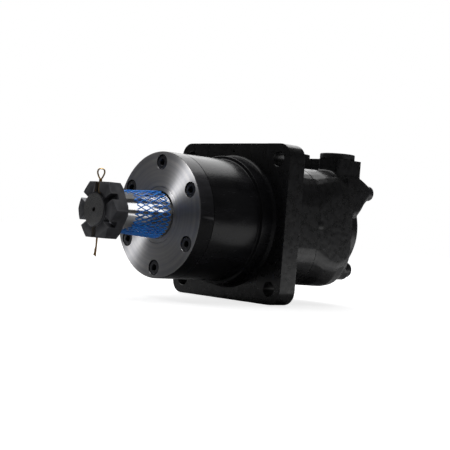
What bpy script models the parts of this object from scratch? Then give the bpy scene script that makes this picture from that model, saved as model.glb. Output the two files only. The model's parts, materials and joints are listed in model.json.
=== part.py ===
"""Orbital hydraulic wheel motor: four-bolt flange, tapered output shaft, two ports on top.

Frame, in metres: the origin is the centre of the flange's mounting face, on the motor's axis.
The output shaft points along -Y, the valve end along +Y and the two ports along +Z.

A roller gerotor drives the shaft. The rotor has one lobe fewer than its ring has rollers, so
its centre orbits ROTOR_LOBES times, backwards, in each turn of the shaft.
"""

import cmath
import math

import bmesh
import bpy
from mathutils import Matrix, Vector

FULL_TURN = 2 * math.pi
GAP = 0.0003  # clearance between neighbouring pieces
BEYOND = 0.005  # how far a cutter reaches past the face it cuts

# Flange: SAE four-bolt wheel mount
FLANGE_SIDE = 0.162
FLANGE_CORNER_R = 0.014
FLANGE_THICK = 0.0229
FLANGE_BOLT_PITCH = 0.1302  # hole to hole along X and along Z
FLANGE_HOLE_R = 0.00725
PILOT_R = 0.066
PILOT_FOOT_R = 0.0702
PILOT_LENGTH = 0.0165

# Bearing housing
BARREL_R = 0.0624
BARREL_FRONT_Y = -0.0783
BEARING_BORE_R = 0.045
BEARING_SHOULDER_R = 0.041
NECK_CORNER_R = 0.040
NECK_REAR_Y = 0.0695
CARTRIDGE_BORE_R = 0.0505
CARTRIDGE_FRONT_Y = 0.040

# Front cover and its screws
COVER_FRONT_Y = -0.0961
COVER_SPIGOT_Y = -0.074
COVER_SCREW_COUNT = 6
COVER_SCREW_RING_R = 0.0518
COVER_SCREW_R = 0.004
COVER_SCREW_HEAD_R = 0.0065
COVER_SCREW_HEAD_LENGTH = 0.0085
COVER_SCREW_TIP_Y = -0.062
SOCKET_DEPTH_SHARE = 0.6  # of the head's height, on every socket-head screw
COVER_COUNTERBORE_R = 0.0075
COVER_BORE_R = 0.0234
COVER_ORING_Y = -0.0763
DUST_SEAL_R = 0.028
DUST_SEAL_Y = (-0.0950, -0.0915)
SHAFT_SEAL_R = 0.032
SHAFT_SEAL_Y = -0.0875
ORING_WIRE_R = 0.00088
ORING_GROOVE_DEPTH = 0.0022
ORING_GROOVE_HALF = 0.0011
ORING_SEAT = 0.0012  # from the groove's floor to the middle of the ring's section

# Output shaft: 44.45 mm taper at 1:8 on diameter, 31.75 mm thread
SHAFT_END_Y = -0.174
THREAD_R = 0.015875
TAPER_LARGE_R = 0.022225
TAPER_START_Y = -0.097
TAPER_END_Y = -0.1545
TAPER_SLOPE = 1 / 16  # radius per length
COLLAR_R = 0.034
COLLAR_Y = (-0.0775, -0.073)
JOURNAL_R = 0.030
SHAFT_REAR_Y = 0.024
CENTRE_DRILL_R = 0.0026
PIN_HOLE_R = 0.0019
PIN_Y = -0.1685

# Key, nut, split pin and net sleeve on the shaft
KEY_WIDTH = 0.0095
KEY_TOP_R = 0.0248
KEY_BOTTOM_R = 0.0152
KEY_Y = (-0.146, -0.108)
NUT_FLATS = 0.0525
NUT_Y = (-0.1718, -0.1530)
NUT_RECESS_R = 0.0193  # clears the end of the taper
NUT_SLOT_WIDTH = 0.0062
NUT_SLOT_DEPTH = 0.0082
PIN_WIRE_R = 0.00072
PIN_LEG_OFFSET = 0.0009
PIN_EYE_R = 0.0031
PIN_EYE_Z = 0.0351
PIN_TAIL_Z = -0.0441
PIN_TURN = math.radians(30)
NET_Y = (-0.1505, -0.0985)
NET_CLEARANCE = 0.0005
NET_THICK = 0.0012
NET_KEY_MARGIN = 0.0012

# Tapered roller bearings
FRONT_BEARING_Y = (-0.0506, -0.0727)  # small end of the raceway, then large end
REAR_BEARING_Y = (-0.0120, 0.0101)
RACE_SMALL_R = 0.034
RACE_RISE = 0.0025
BEARING_ROLLER_R = 0.0029
BEARING_ROLLER_COUNT = 10
RACE_PLAY = 0.0003
CUP_SEGMENTS = 48  # fine enough that a flat of the raceway stays within RACE_PLAY
LOCK_NUT_Y = (0.0104, 0.018)
LOCK_NUT_R = 0.038
LOCK_NUT_NOTCHES = 4

# Gerotor
ROTOR_LOBES = 6
STATOR_ROLLERS = ROTOR_LOBES + 1
ROLLER_RING_R = 0.038
ROLLER_R = 0.008
ORBIT_R = 0.0035
LOBE_PLAY = 0.0002
POCKET_R = 0.0083
STATOR_BORE_R = 0.0373
CARTRIDGE_R = 0.0500
WEAR_PLATE_Y = (0.0403, 0.0440)
WEAR_PLATE_BORE_R = 0.018
STATOR_Y = (0.0443, 0.0643)
MANIFOLD_Y = (0.0646, 0.0692)
MANIFOLD_BORE_R = 0.015
MANIFOLD_PORT_R = 0.003
MANIFOLD_PORT_RING_R = 0.0335

# Drive link: crowned splines at both ends, and a tail that carries the commutator round
SPLINE_TEETH = 8
SPLINE_ROOT_R = 0.0144
SPLINE_TIP_R = 0.0166
SPLINE_PLAY = 0.00045
LINK_PIVOT_Y = -0.008
LINK_TAIL_Y = 0.078
LINK_BODY_R = 0.011
LINK_TAIL_R = 0.009
LINK_TAIL_NECK_R = 0.0078

# Commutator set
COMMUTATOR_Y = (0.0702, 0.0856)
COMMUTATOR_R = 0.030
COMMUTATOR_RING_R = (0.0354, 0.046)
COMMUTATOR_RING_Y = (0.0700, 0.0860)
BALANCE_PLATE_Y = (0.0868, 0.0975)
BALANCE_PLATE_R = 0.0397

# Valve housing
VALVE_FRONT_Y = 0.0698
VALVE_HALF = 0.0624
HOUSING_ORING_GROOVE_R = (0.0517, 0.0545)
COMMUTATOR_CAVITY_R = 0.0463
BALANCE_BORE_R = 0.040
CHAMBER_R = 0.028
REAR_BOSS_R = 0.055
REAR_FACE_Y = 0.1444
REAR_COUNTERBORE_R = 0.0453
REAR_COUNTERBORE_Y = 0.136
PORT_X = 0.0332
PORT_Y = 0.1245
PORT_TOP_Z = 0.076
PORT_THREAD_R = 0.010
PORT_BLOCK_HALF_X = 0.053
PORT_BLOCK_Y = (0.1045, 0.1445)
PORT_WEB_HALF_X = 0.0245
PORT_WEB_DEPTH = 0.0045
PASSAGE_X = 0.027
PASSAGE_R = 0.0055
GALLERY_R = 0.0045

# Tie bolts, plugs and rear cover
TIE_BOLT_OFFSET = 0.043
TIE_BOLT_R = 0.005
TIE_HOLE_R = 0.0055
TIE_HEAD_R = 0.0082
TIE_TIP_Y = 0.008
UPPER_SEAT_Y = 0.1610
LOWER_SEAT_Y = 0.1335
LOWER_BOSS_R = 0.0112
TIE_HEAD_LENGTH = 0.0088
PLUG_R = 0.019
PLUG_TOP_Z = 0.0825
REAR_COVER_R = 0.045
REAR_SPIGOT_Y = 0.1275
REAR_ORING_Y = 0.13125
REAR_SCREW_COUNT = 4
REAR_SCREW_RING_R = 0.037
REAR_SCREW_R = 0.003
REAR_SCREW_HEAD_R = 0.005
REAR_SCREW_HEAD_LENGTH = 0.005
REAR_SCREW_SEAT_Y = 0.1403
REAR_SCREW_TIP_Y = 0.1215
DRAIN_Y = 0.101
DRAIN_TIP_X = 0.0520  # distances from the axis, on the -X side
DRAIN_HEAD_X = (0.0630, 0.0695)
DRAIN_THREAD_R = 0.0059
DRAIN_HEAD_R = 0.0105

LOOKS = {  # colour, roughness, metallic
    "machined_black": ((0.045, 0.045, 0.050), 0.32, 0.9),
    "gunmetal": ((0.30, 0.30, 0.32), 0.30, 1.0),
    "cast_black": ((0.018, 0.018, 0.020), 0.42, 0.2),
    "oxide_steel": ((0.060, 0.062, 0.068), 0.45, 0.8),
    "ground_steel": ((0.72, 0.72, 0.74), 0.18, 1.0),
    "bearing_steel": ((0.62, 0.62, 0.65), 0.15, 1.0),
    "hardened_steel": ((0.48, 0.48, 0.50), 0.30, 1.0),
    "yellow_zinc": ((0.62, 0.47, 0.20), 0.35, 1.0),
    "seal_rubber": ((0.020, 0.020, 0.022), 0.70, 0.0),
    "seal_polymer": ((0.75, 0.72, 0.62), 0.55, 0.0),
    "blue_net": ((0.02, 0.24, 0.62), 0.45, 0.0),
    "plug_plastic": ((0.020, 0.020, 0.021), 0.50, 0.0),
}


def clear_scene():
    for existing in list(bpy.data.objects):
        bpy.data.objects.remove(existing, do_unlink=True)


def material(look):
    if look in bpy.data.materials:
        return bpy.data.materials[look]
    colour, roughness, metallic = LOOKS[look]
    made = bpy.data.materials.new(look)
    made.use_nodes = True
    shader = made.node_tree.nodes["Principled BSDF"]
    shader.inputs["Base Color"].default_value = (*colour, 1.0)
    shader.inputs["Roughness"].default_value = roughness
    shader.inputs["Metallic"].default_value = metallic
    return made


# Outlines are lists of points round the Y direction, from +Z towards +X.


def at_angle(radius, angle, y=0.0, x=0.0, z=0.0):
    return Vector((x + radius * math.sin(angle), y, z + radius * math.cos(angle)))


def circle(radius, y, count, x=0.0, z=0.0, first=0.0):
    """Points on a circle. first is the place of the first one, as a share of a step."""
    return [at_angle(radius, FULL_TURN * (i + first) / count, y, x, z) for i in range(count)]


def rounded_box(half_x, half_z, corner, y, x=0.0, z=0.0, steps=4):
    """A rectangle with round corners, with steps + 1 points in each corner."""
    points = []
    for quarter in range(4):
        side_x = 1 if quarter in (0, 1) else -1
        side_z = 1 if quarter in (0, 3) else -1
        centre_x = x + side_x * (half_x - corner)
        centre_z = z + side_z * (half_z - corner)
        for step in range(steps + 1):
            angle = math.pi / 2 * (quarter + step / steps)
            points.append(at_angle(corner, angle, y, centre_x, centre_z))
    return points


def spline(y, grow=0.0, shrink=1.0):
    """The outline of a straight-toothed spline. grow moves every side out, for a hole."""
    points = []
    half_tooth = FULL_TURN / SPLINE_TEETH / 4
    root, tip = SPLINE_ROOT_R * shrink + grow, SPLINE_TIP_R * shrink + grow
    for tooth in range(SPLINE_TEETH):
        middle = FULL_TURN * tooth / SPLINE_TEETH
        at_root = half_tooth + grow / root
        at_tip = half_tooth * 0.75 + grow / tip
        for radius, offset in ((root, -at_root), (tip, -at_tip), (tip, at_tip), (root, at_root)):
            points.append(at_angle(radius, middle + offset, y))
    return points


# Bodies


def finish(name, shape, look):
    """Turns a bmesh into an object with its faces outward and its round faces smooth."""
    bmesh.ops.recalc_face_normals(shape, faces=shape.faces)
    mesh = bpy.data.meshes.new(name)
    shape.to_mesh(mesh)
    shape.free()
    mesh.shade_smooth()
    mesh.set_sharp_from_angle(angle=math.radians(32))
    made = bpy.data.objects.new(name, mesh)
    made.data.materials.append(material(look))
    bpy.context.scene.collection.objects.link(made)
    return made


def loft(name, sections, look="cast_black"):
    """A closed body through outlines that all have the same number of points."""
    shape = bmesh.new()
    loops = [[shape.verts.new(point) for point in section] for section in sections]
    for near, far in zip(loops, loops[1:]):
        for i in range(len(near)):
            j = (i + 1) % len(near)
            shape.faces.new((near[i], near[j], far[j], far[i]))
    shape.faces.new(loops[0])
    shape.faces.new(loops[-1])
    return finish(name, shape, look)


def turned(name, profile, look="cast_black", segments=24, x=0.0, z=0.0):
    """A body of revolution about Y. profile is (radius, y) pairs: a solid starts and ends on
    the axis, at radius 0, and a ring is a closed loop clear of it."""
    solid = profile[0][0] == 0
    if solid:
        profile = profile[1:-1]
    shape = bmesh.new()
    rings = [[shape.verts.new(p) for p in circle(r, y, segments, x, z)] for r, y in profile]
    pairs = list(zip(rings, rings[1:]))
    if solid:
        shape.faces.new(rings[0])
        shape.faces.new(rings[-1])
    else:
        pairs.append((rings[-1], rings[0]))
    for near, far in pairs:
        for i in range(segments):
            j = (i + 1) % segments
            shape.faces.new((near[i], near[j], far[j], far[i]))
    return finish(name, shape, look)


def rod(name, radius, y0, y1, look="cast_black", segments=24, x=0.0, z=0.0):
    return turned(name, [(0, y0), (radius, y0), (radius, y1), (0, y1)], look, segments, x, z)


def rod_set(name, radius, y0, y1, places, segments=8):
    """Equal rods along Y in one object, one at each (x, z) place: a cutter for a hole pattern."""
    shape = bmesh.new()
    for x, z in places:
        near, far = (
            [shape.verts.new(p) for p in circle(radius, y, segments, x, z, 0.5)] for y in (y0, y1)
        )
        for i in range(segments):
            j = (i + 1) % segments
            shape.faces.new((near[i], near[j], far[j], far[i]))
        shape.faces.new(near)
        shape.faces.new(far)
    return finish(name, shape, "cast_black")


def ring(name, inner, outer, y0, y1, look, segments=24):
    return turned(name, [(inner, y0), (outer, y0), (outer, y1), (inner, y1)], look, segments)


def torus(name, ring_r, wire_r, y, look, segments=24, sides=5):
    profile = []
    for i in range(sides):
        angle = FULL_TURN * (i + 0.5) / sides
        profile.append((ring_r + wire_r * math.cos(angle), y + wire_r * math.sin(angle)))
    return turned(name, profile, look, segments)


def upright_rod(name, radius, z0, z1, x, y, look="cast_black", segments=24):
    """A rod along Z."""
    made = rod(name, radius, z0, z1, look, segments)
    made.data.transform(Matrix.Rotation(math.pi / 2, 4, "X"))
    made.data.transform(Matrix.Translation((x, y, 0)))
    return made


def block(name, x, y, z, look="cast_black"):
    """A rectangular body between two values on each axis."""
    outline = [(x[0], z[1]), (x[1], z[1]), (x[1], z[0]), (x[0], z[0])]
    sections = [[Vector((px, py, pz)) for px, pz in outline] for py in y]
    return loft(name, sections, look)


def combine(body, tool, operation):
    modifier = body.modifiers.new(tool.name, "BOOLEAN")
    modifier.operation = operation
    modifier.solver = "EXACT"
    modifier.object = tool
    tool.hide_render = True
    tool.display_type = "WIRE"


def cut(body, *tools):
    for tool in tools:
        combine(body, tool, "DIFFERENCE")


def add(body, *tools):
    for tool in tools:
        combine(body, tool, "UNION")


def axis_empty(name, location=(0, 0, 0), tilt=0.0, parent=None):
    """An empty on a joint's axis. The moving pieces are its children."""
    made = bpy.data.objects.new(name, None)
    made.location = location
    made.rotation_euler = (tilt, 0, 0)
    made.parent = parent
    bpy.context.scene.collection.objects.link(made)
    return made


def hang(parent, *pieces):
    for piece in pieces:
        piece.parent = parent
        for modifier in piece.modifiers:
            modifier.object.parent = parent


def screw(name, radii, stations, look, place):
    """A socket-head screw along Y: radii of the shank, the head and the socket's corners, and
    the Y of its tip, of its seat and of the top of its head."""
    radius, head_r, socket_r = radii
    tip_y, seat_y, top_y = stations
    x, z = place
    edge = math.copysign(0.0006, top_y - tip_y)
    profile = [
        (0, tip_y),
        (radius, tip_y),
        (radius, seat_y),
        (head_r, seat_y),
        (head_r, top_y - edge),
        (head_r - abs(edge), top_y),
        (0, top_y),
    ]
    made = turned(name, profile, look, 10, x, z)
    floor_y = top_y - (top_y - seat_y) * SOCKET_DEPTH_SHARE
    cut(made, rod(name + "_socket", socket_r, floor_y, top_y + edge * 3, segments=6, x=x, z=z))
    return made


# Output shaft and what it carries


def taper_r(y):
    return TAPER_LARGE_R - (TAPER_START_Y - y) * TAPER_SLOPE


def output_shaft():
    chamfer = 0.0014
    profile = [
        (0, SHAFT_END_Y),
        (THREAD_R - chamfer, SHAFT_END_Y),
        (THREAD_R, SHAFT_END_Y + chamfer),
        (THREAD_R, TAPER_END_Y),
        (taper_r(TAPER_END_Y), TAPER_END_Y),
        (TAPER_LARGE_R, TAPER_START_Y),
        (TAPER_LARGE_R, COLLAR_Y[0]),
        (COLLAR_R, COLLAR_Y[0]),
        (COLLAR_R, COLLAR_Y[1]),
        (JOURNAL_R, COLLAR_Y[1]),
        (JOURNAL_R, SHAFT_REAR_Y - chamfer),
        (JOURNAL_R - chamfer, SHAFT_REAR_Y),
        (0, SHAFT_REAR_Y),
    ]
    made = turned("output_shaft", profile, "ground_steel", 28)
    socket_floor = LINK_PIVOT_Y - 0.012
    spline_hole = [spline(y, SPLINE_PLAY) for y in (socket_floor, SHAFT_REAR_Y + 0.002)]
    keyway = block(
        "keyway",
        (-0.030, -KEY_BOTTOM_R + GAP),
        (KEY_Y[0] - GAP, KEY_Y[1] + GAP),
        (-KEY_WIDTH / 2 - GAP, KEY_WIDTH / 2 + GAP),
    )
    depth = 0.004
    drill = [
        (0, SHAFT_END_Y - depth),
        (2 * CENTRE_DRILL_R, SHAFT_END_Y - depth),
        (CENTRE_DRILL_R * 0.2, SHAFT_END_Y + depth * 0.8),
        (0, SHAFT_END_Y + depth * 0.8),
    ]
    cut(
        made,
        turned("centre_drill", drill, segments=16),
        loft("shaft_spline_hole", spline_hole),
        keyway,
        upright_rod("pin_hole", PIN_HOLE_R, -0.02, 0.02, 0, PIN_Y, segments=12),
    )
    return made


def shaft_key():
    half = KEY_WIDTH / 2
    return block("shaft_key", (-KEY_TOP_R, -KEY_BOTTOM_R), KEY_Y, (-half, half), "hardened_steel")


def castle_nut():
    corner_r = NUT_FLATS / 2 / math.cos(math.pi / 6)
    hexagon = [
        [at_angle(corner_r, FULL_TURN * (i + 0.5) / 6, y) for i in range(6)] for y in NUT_Y
    ]
    made = loft("castle_nut", hexagon, "oxide_steel")
    front, rear = NUT_Y
    drop = 0.0028
    chamfer = turned(
        "nut_chamfer",
        [
            (0, front - 0.0001),
            (NUT_FLATS / 2 - 0.0006, front - 0.0001),
            (corner_r + 0.001, front + drop),
            (corner_r + 0.001, rear - 0.0012),
            (corner_r - 0.0012, rear + 0.0001),
            (0, rear + 0.0001),
        ],
    )
    combine(made, chamfer, "INTERSECT")
    bore = [
        (0, front - 0.002),
        (THREAD_R + 0.0012, front - 0.002),
        (THREAD_R + GAP, front + 0.0012),
        (THREAD_R + GAP, TAPER_END_Y - 2 * GAP),
        (NUT_RECESS_R, TAPER_END_Y - 2 * GAP),
        (NUT_RECESS_R, rear + 0.002),
        (0, rear + 0.002),
    ]
    cut(made, turned("nut_bore", bore, segments=24))
    half = NUT_SLOT_WIDTH / 2
    for i in range(3):
        slot = block(
            f"nut_slot_{i + 1}",
            (-half, half),
            (front - 0.002, front + NUT_SLOT_DEPTH),
            (-0.04, 0.04),
        )
        slot.data.transform(Matrix.Rotation(FULL_TURN * i / 6, 4, "Y"))
        cut(made, slot)
    return made


def cotter_pin():
    """Two wire legs through the shaft, joined by an eye on top."""
    path = [Vector((-PIN_LEG_OFFSET, 0, PIN_TAIL_Z + 0.003))]
    neck_z = PIN_EYE_Z - 2.6 * PIN_EYE_R
    path.append(Vector((-PIN_LEG_OFFSET, 0, neck_z)))
    for i in range(13):
        angle = math.radians(-140 + 280 * i / 12)
        path.append(
            Vector((PIN_EYE_R * math.sin(angle), 0, PIN_EYE_Z + 1.35 * PIN_EYE_R * math.cos(angle)))
        )
    path.append(Vector((PIN_LEG_OFFSET, 0, neck_z)))
    path.append(Vector((PIN_LEG_OFFSET, 0, PIN_TAIL_Z)))
    curve = bpy.data.curves.new("cotter_wire", "CURVE")
    curve.dimensions = "3D"
    curve.bevel_depth = PIN_WIRE_R
    curve.bevel_resolution = 1
    curve.use_fill_caps = True
    wire = curve.splines.new("POLY")
    wire.points.add(len(path) - 1)
    for point, place in zip(wire.points, path):
        point.co = (*place, 1)
    made = bpy.data.objects.new("cotter_pin", curve)
    made.data.materials.append(material("yellow_zinc"))
    made.location = (0, PIN_Y, 0)
    made.rotation_euler = (0, 0, PIN_TURN)
    bpy.context.scene.collection.objects.link(made)
    return made


def net_outline(y, offset, count=48):
    """A loop drawn tight round the taper and the key that stands out of it on the -X side."""
    radius = taper_r(y) + offset
    top = KEY_TOP_R + offset
    side = KEY_WIDTH / 2 + offset + NET_KEY_MARGIN
    corner = math.hypot(top, side)
    corner_angle = math.atan2(side, top)
    tangent = corner_angle + math.acos(radius / corner)
    points = []
    for i in range(count):
        angle = FULL_TURN * i / count
        from_key = abs((angle - 1.5 * math.pi + math.pi) % FULL_TURN - math.pi)
        reach = radius
        if from_key < tangent:
            reach = min(radius / math.cos(tangent - from_key), top / math.cos(from_key))
        points.append(at_angle(reach, angle, y))
    return points


def shaft_net_sleeve():
    inner = [net_outline(y, NET_CLEARANCE) for y in NET_Y]
    outer = [net_outline(y, NET_CLEARANCE + NET_THICK) for y in NET_Y]
    loops = [outer[0], outer[1], inner[1], inner[0]]
    shape = bmesh.new()
    rings = [[shape.verts.new(point) for point in loop] for loop in loops]
    for near, far in zip(rings, rings[1:] + rings[:1]):
        for i in range(len(near)):
            j = (i + 1) % len(near)
            shape.faces.new((near[i], near[j], far[j], far[i]))
    return finish("shaft_net_sleeve", shape, "blue_net")


# Bearings


def tapered_bearing(prefix, small_y, large_y):
    """Cup, cone, and a cage with its rollers. The raceway widens from small_y to large_y."""
    way = 1 if large_y > small_y else -1
    large_r = RACE_SMALL_R + RACE_RISE
    rib = 0.0024
    across = 2 * (BEARING_ROLLER_R + RACE_PLAY)
    cone = turned(
        prefix + "_cone",
        [
            (JOURNAL_R + GAP, small_y),
            (RACE_SMALL_R, small_y),
            (large_r, large_y - way * rib),
            (large_r + 0.0014, large_y - way * rib),
            (large_r + 0.0014, large_y),
            (JOURNAL_R + GAP, large_y),
        ],
        "bearing_steel",
    )
    cup = turned(
        prefix + "_cup",
        [
            (BEARING_BORE_R - GAP, small_y),
            (BEARING_BORE_R - GAP, large_y - way * 0.002),
            (large_r + across, large_y - way * 0.002),
            (RACE_SMALL_R + across, small_y),
        ],
        "bearing_steel",
        CUP_SEGMENTS,
    )
    slope = RACE_RISE / (abs(large_y - small_y) - rib)
    end, length = 0.0032, abs(large_y - small_y) - 0.0068
    y0, y1 = small_y + way * end, small_y + way * (end + length)
    mid0 = RACE_SMALL_R + slope * end + across / 2
    mid1 = mid0 + slope * length
    wall, lip = 0.0008, 0.0014
    cage = turned(
        prefix + "_rollers",
        [
            (mid0 - wall, y0 - way * lip),
            (mid0 + wall, y0 - way * lip),
            (mid1 + wall, y1 + way * lip),
            (mid1 - wall, y1 + way * lip),
        ],
        "bearing_steel",
        24,
    )
    rollers = bmesh.new()
    for i in range(BEARING_ROLLER_COUNT):
        angle = FULL_TURN * i / BEARING_ROLLER_COUNT
        first, last = at_angle(mid0, angle, y0), at_angle(mid1, angle, y1)
        along = last - first
        turn = along.to_track_quat("Z", "Y").to_matrix().to_4x4()
        bmesh.ops.create_cone(
            rollers,
            cap_ends=True,
            segments=6,
            radius1=BEARING_ROLLER_R,
            radius2=BEARING_ROLLER_R,
            depth=along.length,
            matrix=Matrix.Translation((first + last) / 2) @ turn,
        )
    add(cage, finish(prefix + "_roller_set", rollers, "bearing_steel"))
    return cup, cone, cage


def bearing_lock_nut():
    front, rear = LOCK_NUT_Y
    half, depth = 0.003, 0.0025
    made = ring("bearing_lock_nut", JOURNAL_R + GAP, LOCK_NUT_R, front, rear, "oxide_steel")
    for i in range(LOCK_NUT_NOTCHES):
        notch = block(
            f"lock_notch_{i + 1}",
            (-half, half),
            (front - BEYOND, rear + BEYOND),
            (LOCK_NUT_R - depth, LOCK_NUT_R + BEYOND),
        )
        notch.data.transform(Matrix.Rotation(FULL_TURN * (i + 0.5) / LOCK_NUT_NOTCHES, 4, "Y"))
        cut(made, notch)
    return made


# Front cover


def ring_places(radius, count, first=0.0):
    """(x, z) of points spaced evenly on a circle, the first one at that share of a step."""
    places = [at_angle(radius, FULL_TURN * (i + first) / count) for i in range(count)]
    return [(place.x, place.z) for place in places]


COVER_SCREW_PLACES = ring_places(COVER_SCREW_RING_R, COVER_SCREW_COUNT)


def front_cover():
    rear = BARREL_FRONT_Y - GAP
    spigot_r = BEARING_BORE_R - GAP
    edge = 0.0008
    groove_r = spigot_r - ORING_GROOVE_DEPTH
    relief_r, relief_y = 0.037, -0.0790
    profile = [
        (DUST_SEAL_R, COVER_FRONT_Y),
        (BARREL_R - edge, COVER_FRONT_Y),
        (BARREL_R, COVER_FRONT_Y + edge),
        (BARREL_R, rear),
        (spigot_r, rear),
        (spigot_r, COVER_ORING_Y - ORING_GROOVE_HALF),
        (groove_r, COVER_ORING_Y - ORING_GROOVE_HALF),
        (groove_r, COVER_ORING_Y + ORING_GROOVE_HALF),
        (spigot_r, COVER_ORING_Y + ORING_GROOVE_HALF),
        (spigot_r, COVER_SPIGOT_Y),
        (relief_r, COVER_SPIGOT_Y),
        (relief_r, relief_y),
        (SHAFT_SEAL_R, relief_y),
        (SHAFT_SEAL_R, SHAFT_SEAL_Y - GAP),
        (COVER_BORE_R, SHAFT_SEAL_Y - GAP),
        (COVER_BORE_R, DUST_SEAL_Y[1] + GAP),
        (DUST_SEAL_R, DUST_SEAL_Y[1] + GAP),
    ]
    made = turned("front_cover", profile, "gunmetal", 32)
    above, seat = COVER_FRONT_Y - 0.01, COVER_FRONT_Y + COVER_SCREW_HEAD_LENGTH + 0.0008
    hole_r = COVER_SCREW_R + 2 * GAP
    cut(
        made,
        rod_set("cover_holes", hole_r, above, rear + 0.01, COVER_SCREW_PLACES),
        rod_set("cover_counterbores", COVER_COUNTERBORE_R, above, seat, COVER_SCREW_PLACES, 10),
    )
    return made


def cover_screws():
    seat = COVER_FRONT_Y + COVER_SCREW_HEAD_LENGTH + 0.0005
    for number, place in enumerate(COVER_SCREW_PLACES, 1):
        screw(
            f"cover_screw_{number}",
            (COVER_SCREW_R, COVER_SCREW_HEAD_R, 0.0036),
            (COVER_SCREW_TIP_Y, seat, seat - COVER_SCREW_HEAD_LENGTH),
            "oxide_steel",
            place,
        )


def shaft_seals():
    """The wiper, the lip seal behind it and the O-ring on the cover's spigot."""
    clear = TAPER_LARGE_R + GAP
    wiper_r, wall, shoulder = DUST_SEAL_R - GAP, 0.0017, 0.001
    front, rear = DUST_SEAL_Y
    wiper = [
        (clear, front),
        (clear + wall, front),
        (wiper_r - shoulder, front + shoulder),
        (wiper_r, front + 2 * shoulder),
        (wiper_r, rear),
        (clear + wall, rear),
    ]
    turned("dust_seal", wiper, "seal_rubber")
    case_r, case_wall, case_length, web, lip_y = SHAFT_SEAL_R - GAP, 0.0016, 0.0077, 0.0025, 0.0060
    lip = [
        (clear + web, SHAFT_SEAL_Y),
        (case_r, SHAFT_SEAL_Y),
        (case_r, SHAFT_SEAL_Y + case_length),
        (case_r - case_wall, SHAFT_SEAL_Y + case_length),
        (case_r - 1.5 * case_wall, SHAFT_SEAL_Y + web),
        (clear + web, SHAFT_SEAL_Y + web),
        (clear, SHAFT_SEAL_Y + lip_y),
        (clear, SHAFT_SEAL_Y + 0.8 * lip_y),
    ]
    turned("shaft_seal", lip, "seal_rubber")
    oring_r = BEARING_BORE_R - GAP - ORING_GROOVE_DEPTH + ORING_SEAT
    torus("cover_oring", oring_r, ORING_WIRE_R, COVER_ORING_Y, "seal_rubber")


# Bearing housing with the mounting flange


def pilot_profile():
    """Outside of the barrel and pilot, from the front face to inside the flange."""
    foot, steps = PILOT_FOOT_R - PILOT_R, 3
    edge, step_edge = 0.0005, 0.0008
    inside_y = 0.004  # inside the flange, where the two bodies melt into one
    profile = [
        (0, BARREL_FRONT_Y),
        (BARREL_R - edge, BARREL_FRONT_Y),
        (BARREL_R, BARREL_FRONT_Y + edge),
        (BARREL_R, -PILOT_LENGTH - 1.5 * step_edge),
        (PILOT_R - step_edge, -PILOT_LENGTH),
        (PILOT_R, -PILOT_LENGTH + step_edge),
    ]
    for i in range(steps + 1):
        angle = math.pi / 2 * i / steps
        profile.append((PILOT_FOOT_R - foot * math.cos(angle), -foot + foot * math.sin(angle)))
    profile += [(PILOT_FOOT_R, inside_y), (0, inside_y)]
    return profile


def corner_places(offset):
    """(x, z) from the upper +X corner, clockwise as seen looking along +Y."""
    sides = ((1, 1), (1, -1), (-1, -1), (-1, 1))
    return [(side_x * offset, side_z * offset) for side_x, side_z in sides]


TIE_BOLT_PLACES = corner_places(TIE_BOLT_OFFSET)


def bearing_housing():
    half, edge = FLANGE_SIDE / 2, 0.0006
    flange = [
        rounded_box(half - edge, half - edge, FLANGE_CORNER_R - edge, 0),
        rounded_box(half, half, FLANGE_CORNER_R, edge),
        rounded_box(half, half, FLANGE_CORNER_R, FLANGE_THICK - edge),
        rounded_box(half - edge, half - edge, FLANGE_CORNER_R - edge, FLANGE_THICK),
    ]
    made = loft("bearing_housing", flange)
    neck_y = (FLANGE_THICK - 0.002, NECK_REAR_Y)
    neck = [rounded_box(BARREL_R, BARREL_R, NECK_CORNER_R, y) for y in neck_y]
    add(made, turned("barrel", pilot_profile(), segments=36), loft("neck", neck))
    bore = [
        (0, BARREL_FRONT_Y - BEYOND),
        (BEARING_BORE_R, BARREL_FRONT_Y - BEYOND),
        (BEARING_BORE_R, FRONT_BEARING_Y[0] + GAP),
        (BEARING_SHOULDER_R, FRONT_BEARING_Y[0] + GAP),
        (BEARING_SHOULDER_R, REAR_BEARING_Y[0] - GAP),
        (BEARING_BORE_R, REAR_BEARING_Y[0] - GAP),
        (BEARING_BORE_R, CARTRIDGE_FRONT_Y),
        (CARTRIDGE_BORE_R, CARTRIDGE_FRONT_Y),
        (CARTRIDGE_BORE_R, NECK_REAR_Y + BEYOND),
        (0, NECK_REAR_Y + BEYOND),
    ]
    flange_holes = corner_places(FLANGE_BOLT_PITCH / 2)
    flange_span = (-BEYOND, FLANGE_THICK + BEYOND)
    cover_thread_y = (BARREL_FRONT_Y - BEYOND, COVER_SCREW_TIP_Y + 0.002)
    tie_thread_y = (TIE_TIP_Y - 0.002, NECK_REAR_Y + BEYOND)
    cut(
        made,
        turned("housing_bore", bore, segments=28),
        rod_set("flange_holes", FLANGE_HOLE_R, *flange_span, flange_holes, 12),
        rod_set("tie_threads", TIE_HOLE_R, *tie_thread_y, TIE_BOLT_PLACES),
        rod_set("cover_threads", COVER_SCREW_R + 2 * GAP, *cover_thread_y, COVER_SCREW_PLACES),
    )
    return made


# Gerotor cartridge


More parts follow.
